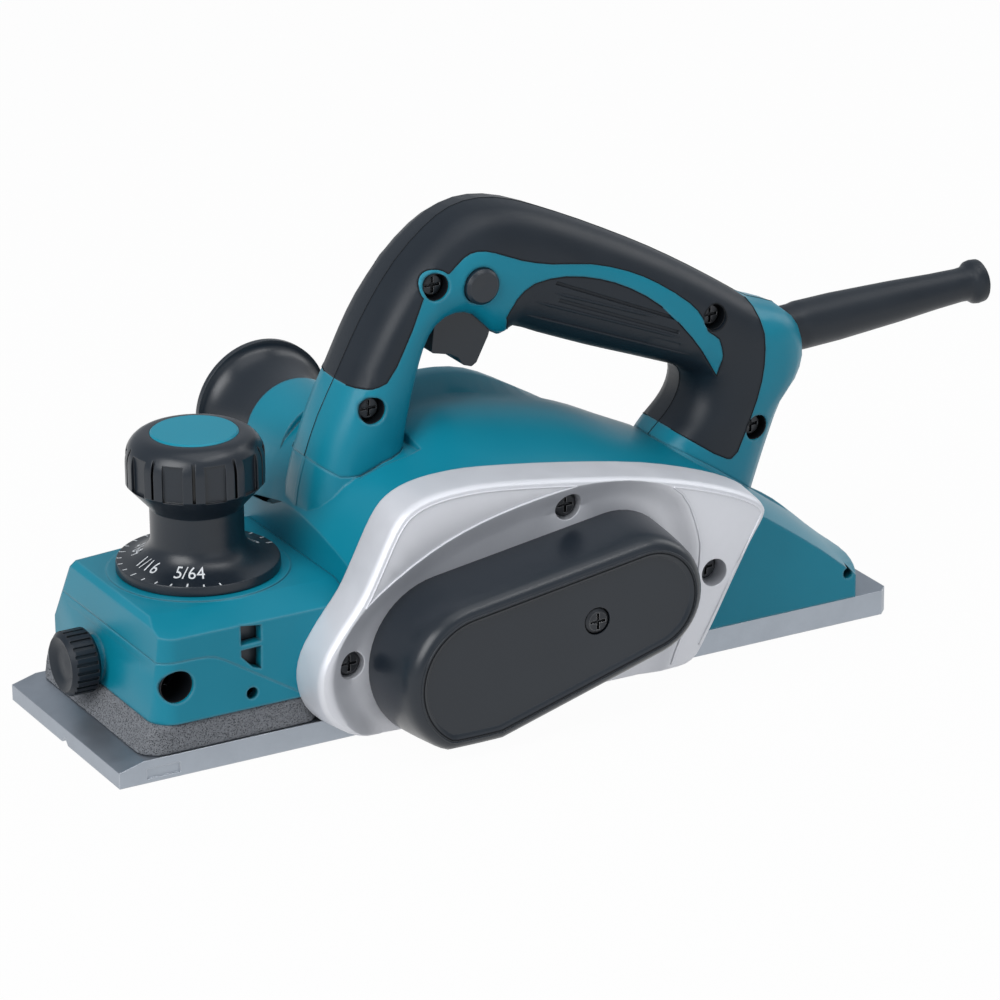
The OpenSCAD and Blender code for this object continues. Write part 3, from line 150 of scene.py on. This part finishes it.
class Finish(Maker):
    """One material: its shader, and the nodes that feed it."""

    def __init__(self, name, **constants):
        self.material = bpy.data.materials.new(name)
        self.material.use_nodes = True
        super().__init__(self.material.node_tree)
        self.shader = self.tree.nodes["Principled BSDF"]
        self.place = self.add("ShaderNodeTexCoord", out="Object")
        self.feed(**constants)

    def noise(self, grain, detail=3, rough=0.5, stretch=(1, 1, 1)):
        """Cloudy noise whose features are about grain millimetres wide."""
        place = self.place
        if stretch != (1, 1, 1):
            place = self.add("ShaderNodeVectorMath", {"operation": "MULTIPLY"},
                             {0: place, 1: stretch})
        return self.add("ShaderNodeTexNoise", None, {
            "Vector": place, "Scale": 1 / (grain * MM), "Detail": detail, "Roughness": rough})

    def cells(self, grain):
        """0 at the middle of each cell and more towards its walls; grain is its width."""
        return self.add("ShaderNodeTexVoronoi", None,
                        {"Vector": self.place, "Scale": 1 / (grain * MM)}, "Distance")

    def blend(self, mask, a, b):
        """Colour a where the mask is 0, and colour b where it is 1."""
        return self.add("ShaderNodeMix", {"data_type": "RGBA"}, {0: mask, 6: a, 7: b}, 2)

    def edges(self, radius):
        """The rounded normal of the piece, and a mask that is 1 along its edges."""
        rounded = self.add("ShaderNodeBevel", {"samples": 6}, {"Radius": radius * MM})
        flat = self.add("ShaderNodeNewGeometry", out="Normal")
        along = self.add("ShaderNodeVectorMath", {"operation": "DOT_PRODUCT"},
                         {0: rounded, 1: flat}, "Value")
        return rounded, (1 - along).ramp(*RIM_TURN)

    def painted_hollow_shade(self, reach):
        """1 where the surface is shut in by its own piece within reach millimetres: the mask for painted shade in
        hollows.
        """
        open_sky = self.add("ShaderNodeAmbientOcclusion", {"samples": 8, "only_local": True},
                            {"Distance": reach * MM}, "AO")
        return 1 - open_sky.ramp(*SHUT_IN)

    def bump(self, height, depth, normal=None):
        """Raises the surface by depth millimetres where height is 1."""
        inputs = {"Height": height, "Distance": depth * MM, "Strength": 1}
        if normal:
            inputs["Normal"] = normal
        return self.add("ShaderNodeBump", None, inputs)

    def feed(self, **inputs):
        """Sets or links the shader's own inputs, named with _ for a space."""
        for name, value in inputs.items():
            self.link(self.shader, name.replace("_", " "), value)
        return self.material


# ---------------------------------------------------------------- finishes

SHEETS_PER_METRE = 2000
TURNS_PER_METRE = 1400


def lighter(colour, share):
    """The colour, moved this share of the way to white."""
    return tuple(c + (1 - c) * share for c in colour[:3]) + (1,)


def darker(colour, share):
    """The colour, moved this share of the way to black."""
    return tuple(c * (1 - share) for c in colour[:3]) + (1,)


def moulded(name, colour, rough, grain=0.35, depth=0.006, edge=0.5, rim_highlight_colour=None, gloss=0.3):
    """Moulded plastic: spark-eroded grain, slight flow clouds, edges lightened as a painted highlight, and painted
    shade in its hollows.
    """
    f = Finish(name, Specular_IOR_Level=gloss)
    rounded, rim = f.edges(edge)
    flow = f.noise(28, 2)
    fine = f.noise(grain, 2, 0.6)
    base = f.blend(flow, darker(colour, 0.12), lighter(colour, 0.006))
    # painted highlight: the colour lightens along the edges towards the rim highlight colour
    base = f.blend(rim * 0.8, base, rim_highlight_colour or lighter(colour, 0.05))
    return f.feed(
        # painted shade: the colour goes almost black where the piece shuts itself in, in holes and recesses
        Base_Color=f.blend(f.painted_hollow_shade(6) * 0.93, base, darker(colour, 0.93)),
        Roughness=rough + (fine - 0.5) * 0.14 + (flow - 0.5) * 0.1,
        Normal=f.bump(fine, depth, rounded))


def elastomer(name, colour, rough=0.5, grain=0.5, depth=0.012):
    """Soft overmoulded rubber: fine leathery grain, dull clouds and slightly paler rims, a painted highlight."""
    f = Finish(name, Specular_IOR_Level=0.35)
    rounded, rim = f.edges(0.7)
    skin = f.cells(grain)
    cloud = f.noise(14, 4)
    base = f.blend(cloud, darker(colour, 0.2), lighter(colour, 0.004))
    return f.feed(
        # painted highlight: the colour pales along the rims
        Base_Color=f.blend(rim * 0.6, base, lighter(colour, 0.02)),
        Roughness=rough + (cloud - 0.5) * 0.12 + skin * 0.06,
        Normal=f.bump(skin, depth, rounded))


def cast_metal(name, colour, rough, grain=0.4, depth=0.012, edge=0.5, metal=1.0, mottle=0.14):
    """Die-cast or blasted light metal: fine pits, faint clouds, and edges painted brighter as a highlight."""
    f = Finish(name, Metallic=metal)
    rounded, rim = f.edges(edge)
    pits = f.noise(grain, 3, 0.7)
    cloud = f.noise(9, 5, 0.6)
    base = f.blend(cloud, darker(colour, mottle), lighter(colour, 0.06))
    return f.feed(
        # painted highlight: the colour brightens along the edges
        Base_Color=f.blend(rim * 0.7, base, lighter(colour, 0.35)),
        Roughness=rough + (cloud - 0.5) * 0.16 - rim * 0.08,
        Normal=f.bump(pits, depth, rounded))


def milled(name, colour, rough, along, depth=0.004):
    """Machined metal: tool lines, packed closest where along is large, and thin oil clouds."""
    f = Finish(name, Metallic=1.0)
    rounded, rim = f.edges(0.25)
    lines = f.noise(0.8, 3, 0.6, along)
    cloud = f.noise(12, 3)
    base = f.blend(cloud, darker(colour, 0.12), lighter(colour, 0.05))
    return f.feed(
        # painted highlight: the colour brightens along the edges
        Base_Color=f.blend(rim * 0.6, base, lighter(colour, 0.3)),
        Roughness=rough + (lines - 0.5) * 0.2 + (cloud - 0.5) * 0.1,
        Normal=f.bump(lines, depth, rounded))


def laminated(name, colour):
    """A stack of thin lacquered iron sheets across the shaft."""
    f = Finish(name, Metallic=0.7)
    y = f.add("ShaderNodeSeparateXYZ", None, {0: f.place}, "Y")
    sheet = f.add("ShaderNodeMath", {"operation": "FRACT"}, {0: y * SHEETS_PER_METRE})
    gap = (sheet - 0.5).size().ramp(0.38, 0.5)
    cloud = f.noise(6, 4)
    base = f.blend(cloud, darker(colour, 0.25), colour)
    return f.feed(
        Base_Color=f.blend(gap, base, darker(colour, 0.7)),
        Roughness=0.42 + cloud * 0.2,
        Normal=f.bump(1 - gap, 0.05))


def wound_copper(name, colour):
    """Lacquered magnet wire in close turns, with painted shade in the grooves between them."""
    f = Finish(name, Metallic=0.85, Coat_Weight=0.4, Coat_Roughness=0.2)
    y = f.add("ShaderNodeSeparateXYZ", None, {0: f.place}, "Y")
    turn = f.add("ShaderNodeMath", {"operation": "FRACT"}, {0: y * TURNS_PER_METRE})
    crown = 1 - (turn - 0.5).size() * 2
    cloud = f.noise(4, 3)
    return f.feed(
        # painted shade: the colour darkens from each turn's crown into the grooves between turns
        Base_Color=f.blend(crown.ramp(0.05, 0.6), darker(colour, 0.75),
                           f.blend(cloud, darker(colour, 0.15), lighter(colour, 0.1))),
        Roughness=0.32 + cloud * 0.15,
        Normal=f.bump(crown, 0.12))


def open_foam(name, colour):
    """Open-cell foam: pores painted dark as shade, between pale walls."""
    f = Finish(name, Specular_IOR_Level=0.2)
    pore = f.cells(0.55)
    wide = f.cells(1.2)
    fibre = f.noise(0.5, 3, 0.7)
    hole = (1 - pore * 1.6).ramp(0.35, 0.75) * 0.8 + (1 - wide * 1.6).ramp(0.6, 0.9) * 0.4
    return f.feed(
        # painted shade: the pores are darkened
        Base_Color=f.blend(hole.low(1), f.blend(fibre, darker(colour, 0.35), lighter(colour, 0.3)),
                           darker(colour, 0.78)),
        Roughness=0.85 + fibre * 0.1,
        Normal=f.bump(1 - hole + fibre * 0.4, 0.35))


def sintered(name, colour):
    """Pressed carbon: dull, with tiny bright flecks."""
    f = Finish(name)
    fleck = f.noise(0.25, 2, 0.8)
    rounded, rim = f.edges(0.2)
    return f.feed(
        Base_Color=f.blend(fleck.ramp(0.62, 0.7), colour, lighter(colour, 0.25)),
        Roughness=0.5 + fleck * 0.2,
        Normal=f.bump(fleck, 0.02, rounded))


teal = srgb(0, 130, 153)
black = srgb(19, 29, 39)
finishes = {
    "body_plastic": moulded("Teal nylon", teal, 0.36, edge=1.4, rim_highlight_colour=lighter(teal, 0.07)),
    "cap_plastic": moulded("Teal cap", srgb(0, 138, 161), 0.38, edge=0.35),
    "soft_grip": elastomer("Soft grip", black, 0.42),
    "black_plastic": moulded("Black nylon", black, 0.32, rim_highlight_colour=lighter(black, 0.03),
                             gloss=0.5),
    "thumb_plastic": moulded("Knurled black", black, 0.42, 0.5, 0.012,
                             rim_highlight_colour=lighter(black, 0.03)),
    "guard_rubber": elastomer("Guard rubber", lighter(black, 0.006), 0.38, 0.7, 0.006),
    "belt_rubber": elastomer("Belt rubber", srgb(26, 28, 30), 0.65, 0.8, 0.03),
    "seal_foam": open_foam("Seal foam", srgb(74, 79, 88)),
    "cast_base": cast_metal("Cast base", srgb(168, 176, 186), 0.44, 0.7, 0.03, 0.5,
                            metal=0.95, mottle=0.2),
    "bracket_metal": cast_metal("Satin bracket", srgb(222, 223, 228), 0.5, 0.3, 0.014, 0.6,
                                metal=0.5, mottle=0.07),
    "drum_metal": milled("Turned alloy", srgb(178, 180, 184), 0.3, (12, 1, 12)),
    "blade_steel": milled("Ground blade", srgb(200, 202, 206), 0.18, (14, 1, 14), depth=0.002),
    "clamp_steel": milled("Blued clamp", srgb(84, 88, 96), 0.35, (10, 1, 10)),
    "bright_steel": milled("Bright steel", srgb(196, 197, 200), 0.24, (1, 10, 1)),
    "dark_screws": cast_metal("Black oxide", srgb(38, 42, 48), 0.34, 0.4, 0.006, 0.25, 0.8, 0.3),
    "core_steel": laminated("Core sheets", srgb(120, 122, 126)),
    "copper": wound_copper("Copper turns", srgb(186, 104, 62)),
    "brass_holder": milled("Brass holder", srgb(196, 160, 88), 0.3, (1, 8, 1)),
    "carbon": sintered("Carbon brush", srgb(38, 38, 40)),
}


# ------------------------------------------------- edges and smooth faces

SMOOTH_UP_TO = 32  # degrees between two faces


def smooth_faces():
    """A modifier that joins a carried-over piece's faces and shades the blunt edges smooth."""
    tree = bpy.data.node_groups.new("Smooth faces %d" % SMOOTH_UP_TO, "GeometryNodeTree")
    for way in ("INPUT", "OUTPUT"):
        tree.interface.new_socket("Geometry", in_out=way, socket_type="NodeSocketGeometry")
    group = Maker(tree)
    start = group.add("NodeGroupInput")
    bare = group.add("GeometryNodeRemoveAttribute", None,
                     {"Geometry": start, "Name": "custom_normal"})
    joined_up = group.add("GeometryNodeMergeByDistance", None,
                          {"Geometry": bare, "Distance": SAME_POINT})
    round_all = group.add("GeometryNodeSetShadeSmooth", {"domain": "FACE"},
                          {"Geometry": joined_up})
    angle = group.add("GeometryNodeInputMeshEdgeAngle")
    sharp = group.add("FunctionNodeCompare", {"data_type": "FLOAT", "operation": "GREATER_THAN"},
                      {"A": angle, "B": math.radians(SMOOTH_UP_TO)})
    done = group.add("GeometryNodeSetShadeSmooth", {"domain": "EDGE"},
                     {"Geometry": round_all, "Selection": sharp, "Shade Smooth": False})
    group.add("NodeGroupOutput", None, {0: done})
    return tree


smooth = smooth_faces()
slots = {part["node"]: part["material_slot"] for part in frame["record"]["subparts"]}
for name, piece in nodes.items():
    piece.data.materials.clear()
    piece.data.materials.append(finishes[slots[name]])
    piece.modifiers.new("Smooth faces", "NODES").node_group = smooth


# --------------------------------------------------- foam and return spring

FOAM_VOXEL, FOAM_ROUGH, FOAM_CELL = 0.9, 0.14, 1.1  # millimetres
LIFT_M = next(j for j in frame["joints"] if j["name"] == "front_base_lift")["range_m"][1]


def soft_copy(name, source, voxel=0.0, rough=0.0):
    """A piece in place of a carried-over one; voxel and rough, in millimetres, soften its skin."""
    piece = bpy.data.objects.new(name, nodes[source].data.copy())
    bpy.context.scene.collection.objects.link(piece)
    if voxel:
        remesh = piece.modifiers.new("Cells", "REMESH")
        remesh.mode = "VOXEL"
        remesh.voxel_size = voxel * MM
        round_off = piece.modifiers.new("Round off", "SMOOTH")
        round_off.iterations = 2
        bpy.context.view_layer.update()
        made = bpy.data.meshes.new_from_object(
            piece.evaluated_get(bpy.context.evaluated_depsgraph_get()))
        piece.modifiers.clear()
        piece.data = made
        made.materials.clear()
        made.materials.append(nodes[source].data.materials[0])
        places = [v.co + v.normal * noise.noise(v.co / (FOAM_CELL * MM)) * rough * MM
                  for v in made.vertices]
        for v, place in zip(made.vertices, places):
            v.co = place
        for face in made.polygons:
            face.use_smooth = True
    else:
        piece.modifiers.new("Smooth faces", "NODES").node_group = smooth
    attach(piece, "body")
    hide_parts(source)
    low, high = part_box(source)
    1 - LIFT_M / (high.z - low.z)
    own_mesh(piece)
    return piece


soft_copy("seal_pad", "foam_seal", FOAM_VOXEL, FOAM_ROUGH)
soft_copy("depth_coil", "depth_spring")


# -------------------------------------------------------------- fine lines

joined = {}


def add_piece(name, data, body):
    """Puts a new piece in the scene, on its body."""
    piece = bpy.data.objects.new(name, data)
    bpy.context.scene.collection.objects.link(piece)
    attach(piece, body)
    return piece


def mesh_of(name, shape, finish):
    """A mesh with its faces turned outwards, in one finish."""
    bmesh.ops.recalc_face_normals(shape, faces=shape.faces)
    mesh = bpy.data.meshes.new(name)
    shape.to_mesh(mesh)
    mesh.materials.append(finish)
    return mesh


def joined_mesh(name):
    """The faces of a carried-over piece with their shared corners joined."""
    if name not in joined:
        shape = joined[name] = bmesh.new()
        shape.from_mesh(nodes[name].data)
        bmesh.ops.remove_doubles(shape, verts=shape.verts, dist=SAME_POINT)
        shape.normal_update()
    return joined[name]


def runs_of(edges):
    """Chains edges into runs of points; a closed run ends where it starts."""
    ways = {}
    for edge in edges:
        a, b = edge.verts
        ways.setdefault(a, []).append(b)
        ways.setdefault(b, []).append(a)
    runs = []
    for start in sorted(ways, key=lambda v: (len(ways[v]) == 2, v.index)):
        while ways[start]:
            run = [start]
            while ways[run[-1]]:
                there = ways[run[-1]].pop(0)
                ways[there].remove(run[-1])
                run.append(there)
            runs.append([v.co.copy() for v in run])
    return runs


def bead(name, runs, radius, finish, body, taper=0.0):
    """A round bead along each run of points, thinner over a share taper at both ends."""
    line = bpy.data.curves.new(name, "CURVE")
    line.dimensions = "3D"
    line.bevel_depth = radius * MM
    line.bevel_resolution = 2
    line.use_fill_caps = True
    for run in runs:
        closed = len(run) > 3 and (run[0] - run[-1]).length < SAME_POINT
        points = run[:-1] if closed else run
        spline = line.splines.new("POLY")
        spline.points.add(len(points) - 1)
        spline.use_cyclic_u = closed
        for k, (point, place) in enumerate(zip(spline.points, points)):
            share = min(k, len(points) - 1 - k) / (len(points) - 1)
            point.co = (*place, 1)
            point.radius = min(1, 0.25 + share / taper) if taper else 1
    line.materials.append(finish)
    add_piece(name, line, body)


def grip_borders(name, side):
    """The outer edge of one soft layer, where it meets the hard shell."""
    found = []
    for edge in joined_mesh(name).edges:
        faces = edge.link_faces
        if len(faces) != 2 or edge.calc_face_angle(0) < 0.7:
            continue
        if min(abs(v.co.y) for v in edge.verts) < 0.6 * MM:
            continue
        skin, wall = sorted(faces, key=lambda f: -f.normal.y * side)
        depth = [v.co.y for v in wall.verts]
        if skin.normal.y * side > 0.12 and max(depth) - min(depth) > 1.1 * MM:
            found.append(edge)
    return runs_of(found)


def length(run):
    """How long a run of points is, in metres."""
    return sum((b - a).length for a, b in zip(run, run[1:]))


def face_borders(name, facing_in):
    """The borders of a piece's flat near face whose side walls face in to it, or out."""
    low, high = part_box("belt_cover")
    centre = (low + high) / 2
    face_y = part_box(name)[0].y
    found = []
    for edge in joined_mesh(name).edges:
        if len(edge.link_faces) != 2 or max(abs(v.co.y - face_y) for v in edge.verts) > 0.02 * MM:
            continue
        flat, side = sorted(edge.link_faces, key=lambda f: f.normal.y)
        inward = centre - (edge.verts[0].co + edge.verts[1].co) / 2
        inward.y = 0
        if flat.normal.y < -0.999 and side.normal.y > -0.98:
            if (side.normal.dot(inward) > 0) == facing_in:
                found.append(edge)
    return [run for run in runs_of(found) if length(run) > 35 * MM]


def centre_seam(name):
    """Where one half meets the other in the centre plane."""
    return runs_of([edge for edge in joined_mesh(name).edges
                    if len(edge.link_faces) == 2 and edge.calc_face_angle(0) > 0.5
                    and max(abs(v.co.y) for v in edge.verts) < 0.2 * MM])


SIDE_RIBS = [((27.8, 126.2), (65.2, 111.5)), ((20.4, 124.5), (75.4, 102.3)),
             ((18.1, 119.9), (79.4, 95.4))]


def side_ribs(name, side):
    """Runs of points that lie on one side grip under each of its long ribs."""
    skin = BVHTree.FromBMesh(joined_mesh(name))
    runs = []
    for (x0, z0), (x1, z1) in SIDE_RIBS:
        run = []
        for k in range(33):
            t = k / 32
            start = Vector(((x0 + (x1 - x0) * t) * MM, side * 30 * MM, (z0 + (z1 - z0) * t) * MM))
            hit = skin.ray_cast(start, Vector((0, -side, 0)))[0]
            if hit:
                run.append(hit - Vector((0, side * 0.1 * MM, 0)))
        runs.append(run)
    return runs


HANDLE_SCREWS = [(-15.2, 135.3), (88.1, 107.2), (104.4, 65.8), (-38.7, 98.1)]
SCREW_WELL = (4.48, -15.7, -12)  # radius, y of the mouth and y of the end
FENCE_BORE = (-121.5, 30)
FENCE_SHADE_R = 5.48
SHADE_THICK = 0.2


def sleeve(name, x, z, radius, y_mouth, y_end, finish, slot):
    """A thin dark sleeve in a round hole along Y, in millimetres: painted shade on the hole's wall."""
    shape = bmesh.new()
    count = 40
    inner = radius - SHADE_THICK
    profile = ((y_mouth, radius), (y_end, radius), (y_end, inner), (y_mouth, inner))
    rings = [[shape.verts.new(((x + r * math.cos(math.tau * k / count)) * MM, y * MM,
                               (z + r * math.sin(math.tau * k / count)) * MM))
              for k in range(count)] for y, r in profile]
    for i, ring in enumerate(rings):
        for k in range(count):
            shape.faces.new((ring[k], ring[k - 1], rings[i - 1][k - 1], rings[i - 1][k]))
    piece = add_piece(name, mesh_of(name, shape, finish), "body")
    piece.modifiers.new("Smooth faces", "NODES").node_group = smooth


shadow_gap = moulded("Shadow gap", srgb(6, 12, 18), 0.7, gloss=0.1)
# painted shade: dark sleeves in the handle's screw holes and in the fence bore
for k, (x, z) in enumerate(HANDLE_SCREWS):
    sleeve("screw_well_%d" % (k + 1), x, z, *SCREW_WELL, shadow_gap, "body_plastic")
sleeve("fence_bore_shade_near", *FENCE_BORE, FENCE_SHADE_R, -39.6, -27.2, shadow_gap, "body_plastic")
sleeve("fence_bore_shade_far", *FENCE_BORE, FENCE_SHADE_R, 31, 27.2, shadow_gap, "body_plastic")


def window_shade_plate(x0, x1, z0, z1, y, thick, corner):
    """A dark plate behind the two windows of the front housing, in millimetres: painted shade seen through them.
    """
    shape = bmesh.new()
    outline = []
    for cx, cz, turn in ((x1, z1, 0), (x0, z1, 1), (x0, z0, 2), (x1, z0, 3)):
        for k in range(7):
            a = math.radians(90 * turn + 15 * k)
            outline.append((cx - corner * (1 if cx == x1 else -1) + corner * math.cos(a),
                            cz - corner * (1 if cz == z1 else -1) + corner * math.sin(a)))
    near = [shape.verts.new((u * MM, y * MM, w * MM)) for u, w in outline]
    far = [shape.verts.new((u * MM, (y + thick) * MM, w * MM)) for u, w in outline]
    shape.faces.new(near)
    shape.faces.new(far[::-1])
    for k in range(len(outline)):
        shape.faces.new((near[k], near[k - 1], far[k - 1], far[k]))
    add_piece("window_shade_plate", mesh_of("window_shade_plate", shape, finishes["dark_screws"]), "body")


# painted shade: a dark plate fills the view through the windows
window_shade_plate(x0=-101.5, x1=-90.5, z0=28.5, z1=47.5, y=-36.7, thick=0.6, corner=1.5)
for name, side in (("grip_left", -1), ("grip_right", 1)):
    bead(name + "_border", grip_borders(name, side), 0.2, shadow_gap, "body")
    bead(name + "_ribs", side_ribs(name, side), 0.55, finishes["soft_grip"], "body",
         taper=0.12)
bead("dish_lip", face_borders("drive_bracket", True), 0.4, finishes["bracket_metal"], "body")
bead("bracket_lip", face_borders("drive_bracket", False), 0.35, finishes["bracket_metal"], "body")
bead("cover_lip", face_borders("belt_cover", False), 0.3, finishes["black_plastic"], "body")
bead("cover_step", face_borders("belt_cover", True), 0.22, shadow_gap, "body")
bead("grip_seam", centre_seam("grip_left") + centre_seam("handle_left"), 0.16, shadow_gap, "body")


# ------------------------------------------------------------- dial marks

knob_low, knob_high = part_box("depth_knob")
knob_axis = (knob_low + knob_high) / 2


NECK_R, FLARE_REACH, RIM_H, FLARE_RISE = 15, 11, 3, 8  # millimetres


def flare(share):
    """Radius and height on the knob's flare: 0 at its outer rim, 1 at the neck."""
    a = share * math.pi / 2
    return ((NECK_R + FLARE_REACH * (1 - math.sin(a))) * MM,
            knob_low.z + (RIM_H + FLARE_RISE * (1 - math.cos(a))) * MM)


def on_flare(angle, share, lift=0.05 * MM):
    """A place just above the flare, so that ink lies on it."""
    r, z = flare(share)
    return Vector((knob_axis.x + (r + lift) * math.cos(angle),
                   knob_axis.y + (r + lift) * math.sin(angle), z + lift))


def ink():
    """Pale printing ink, a little worn."""
    f = Finish("Dial ink", Specular_IOR_Level=0.3)
    worn = f.noise(0.7, 3)
    return f.feed(Base_Color=f.blend(worn, srgb(205, 208, 210), srgb(236, 238, 240)),
                  Roughness=0.5 + worn * 0.15)


MM_PER_TURN = 3
INCH = 25.4
MARKS_PER_NUMBER = 4
TURN_PER_MARK = math.radians(360 / MM_PER_TURN * INCH / 64 / MARKS_PER_NUMBER)
FIRST_MARK = math.radians(-2)
NUMBERS = ["0", "1/64", "1/32", "3/64", "1/16", "5/64"]
MARKS = MARKS_PER_NUMBER * (len(NUMBERS) - 1) + 3
MARK_HALF_WIDTH = 0.26
NUMBER_SIZE = 6.2
NUMBER_R = 21.5  # where the numbers' width is measured round the flare
FLARE_LENGTH = 14  # from rim to neck along the flare, as the numbers' height is laid on it
NUMBER_BASE = 0.29  # share of the flare at the foot of the numbers


def dial_marks():
    """The ring of marks and numbers printed on the knob's flare, as one piece."""
    vertices, faces = [], []

    def strip(points_a, points_b):
        n = len(vertices)
        vertices.extend(points_a + points_b)
        k = len(points_a)
        faces.extend((n + i, n + i + 1, n + k + i + 1, n + k + i) for i in range(k - 1))

    for mark in range(MARKS):
        at = FIRST_MARK + mark * TURN_PER_MARK
        half = MARK_HALF_WIDTH * MM / flare(0.05)[0]
        reach = 0.09 if mark % MARKS_PER_NUMBER else 0.13
        shares = [0.01 + reach * i / 4 for i in range(5)]
        strip([on_flare(at - half, s) for s in shares], [on_flare(at + half, s) for s in shares])
    for k, text in enumerate(NUMBERS):
        curve = bpy.data.curves.new("number", "FONT")
        curve.body = text
        curve.size = NUMBER_SIZE * MM
        curve.align_x = "CENTER"
        curve.resolution_u = 3
        lettering = bpy.data.objects.new("number", curve)
        bpy.context.scene.collection.objects.link(lettering)
        bpy.context.view_layer.update()
        flat = lettering.evaluated_get(bpy.context.evaluated_depsgraph_get()).to_mesh()
        n = len(vertices)
        at = FIRST_MARK + MARKS_PER_NUMBER * k * TURN_PER_MARK
        for v in flat.vertices:
            share = NUMBER_BASE + v.co.y / (FLARE_LENGTH * MM)
            vertices.append(on_flare(at + v.co.x / (NUMBER_R * MM), share))
        faces.extend(tuple(n + i for i in p.vertices) for p in flat.polygons)
        bpy.data.objects.remove(lettering)
    mesh = bpy.data.meshes.new("dial_marks")
    mesh.from_pydata(vertices, [], faces)
    mesh.materials.append(ink())
    add_piece("dial_marks", mesh, "knob")


dial_marks()


# ------------------------------------------------------ floor, light, camera

WHITE_SHARE = 0.97  # of what the camera and gloss see of the floor; the rest is lit floor
FLOOR_HALF = 6
FLOOR_DROP = 0.0002


def white_floor():
    """A pale floor that keeps the planer's shadow and reads white to the camera."""
    f = Finish("Pale floor", Roughness=0.6, Specular_IOR_Level=0.2)
    cloud = f.noise(400, 2)
    f.feed(Base_Color=f.blend(cloud, (0.6, 0.6, 0.6, 1), (0.64, 0.64, 0.64, 1)))
    seen = (f.add("ShaderNodeLightPath", out="Is Camera Ray")
            + f.add("ShaderNodeLightPath", out="Is Glossy Ray")
            + f.add("ShaderNodeLightPath", out="Is Transmission Ray"))
    glow = f.add("ShaderNodeEmission", None, {"Color": (1, 1, 1, 1), "Strength": 1})
    lit = Value(f, f.shader.outputs[0])
    mixed = f.add("ShaderNodeMixShader", None, {0: seen * WHITE_SHARE, 1: lit, 2: glow})
    f.link(f.tree.nodes["Material Output"], "Surface", mixed)
    mesh = bpy.data.meshes.new("floor")
    s = FLOOR_HALF
    z = cad_low.z - FLOOR_DROP
    mesh.from_pydata([(-s, -s, z), (s, -s, z), (s, s, z), (-s, s, z)], [], [(0, 1, 2, 3)])
    mesh.materials.append(f.material)
    floor = bpy.data.objects.new("floor", mesh)
    bpy.context.scene.collection.objects.link(floor)


ROOM = (0.27, 0.3, 0.34, 1)
GLOSS_SHARE = 0.25  # how far gloss sees the room as white


def studio_world():
    """An even grey room for diffuse light, paler for gloss and white for the camera."""
    world = bpy.data.worlds.new("Studio")
    world.use_nodes = True
    bpy.context.scene.world = world
    room = Maker(world.node_tree)
    white = (room.add("ShaderNodeLightPath", out="Is Glossy Ray") * GLOSS_SHARE
             + room.add("ShaderNodeLightPath", out="Is Camera Ray"))
    colour = room.add("ShaderNodeMix", {"data_type": "RGBA"},
                      {0: white, 6: ROOM, 7: (1, 1, 1, 1)}, 2)
    room.link(room.tree.nodes["Background"], "Color", colour)


def heading(azimuth, elevation):
    """The direction, in degrees round the planer from its near side and up, as a unit vector."""
    a, e = math.radians(azimuth), math.radians(elevation)
    return Vector((math.sin(a) * math.cos(e), -math.cos(a) * math.cos(e), math.sin(e)))


def soft_box(name, azimuth, elevation, distance, width, height, level):
    """An area lamp aimed at the planer; level 1 alone lights a facing white sheet fully."""
    away = heading(azimuth, elevation)
    lamp = bpy.data.lights.new(name, "AREA")
    lamp.shape = "RECTANGLE"
    lamp.size, lamp.size_y = width, height
    lamp.energy = level * math.pi ** 2 * distance ** 2
    holder = bpy.data.objects.new(name, lamp)
    holder.location = (cad_low + cad_high) / 2 + away * distance
    holder.rotation_mode = "QUATERNION"
    holder.rotation_quaternion = (-away).to_track_quat("-Z", "Y")
    bpy.context.scene.collection.objects.link(holder)


CAMERA_AIM = (0.0161, 0, 0.0517)
CAMERA_HEADING = (-29.1, 21.2)
CAMERA_DISTANCE = 1.6388
CAMERA_ROLL = -0.5


def camera():
    """The main view: a long lens, level to half a degree, from the front left and above."""
    lens = bpy.data.cameras.new("Camera")
    lens.lens = 180
    lens.sensor_width = 36
    lens.clip_start, lens.clip_end = 0.05, 50
    back = heading(*CAMERA_HEADING)
    eye = bpy.data.objects.new("Camera", lens)
    eye.location = Vector(CAMERA_AIM) + back * CAMERA_DISTANCE
    eye.rotation_mode = "QUATERNION"
    roll = Matrix.Rotation(math.radians(CAMERA_ROLL), 3, "Z").to_quaternion()
    eye.rotation_quaternion = (-back).to_track_quat("-Z", "Y") @ roll
    bpy.context.scene.collection.objects.link(eye)
    bpy.context.scene.camera = eye


white_floor()
studio_world()
soft_box("Key", -70, 32, 1.3, 0.8, 0.8, 0.62)
soft_box("Front fill", 8, 15, 1.5, 1.2, 0.8, 0.08)
soft_box("Shoulder strip", 25, 64, 1.2, 0.9, 0.16, 0.16)
soft_box("Right rim", 96, 30, 1.2, 0.5, 0.9, 0.2)
soft_box("Top", 10, 84, 1.2, 1.0, 0.8, 0.2)
camera()
bpy.context.scene.view_settings.view_transform = "Standard"
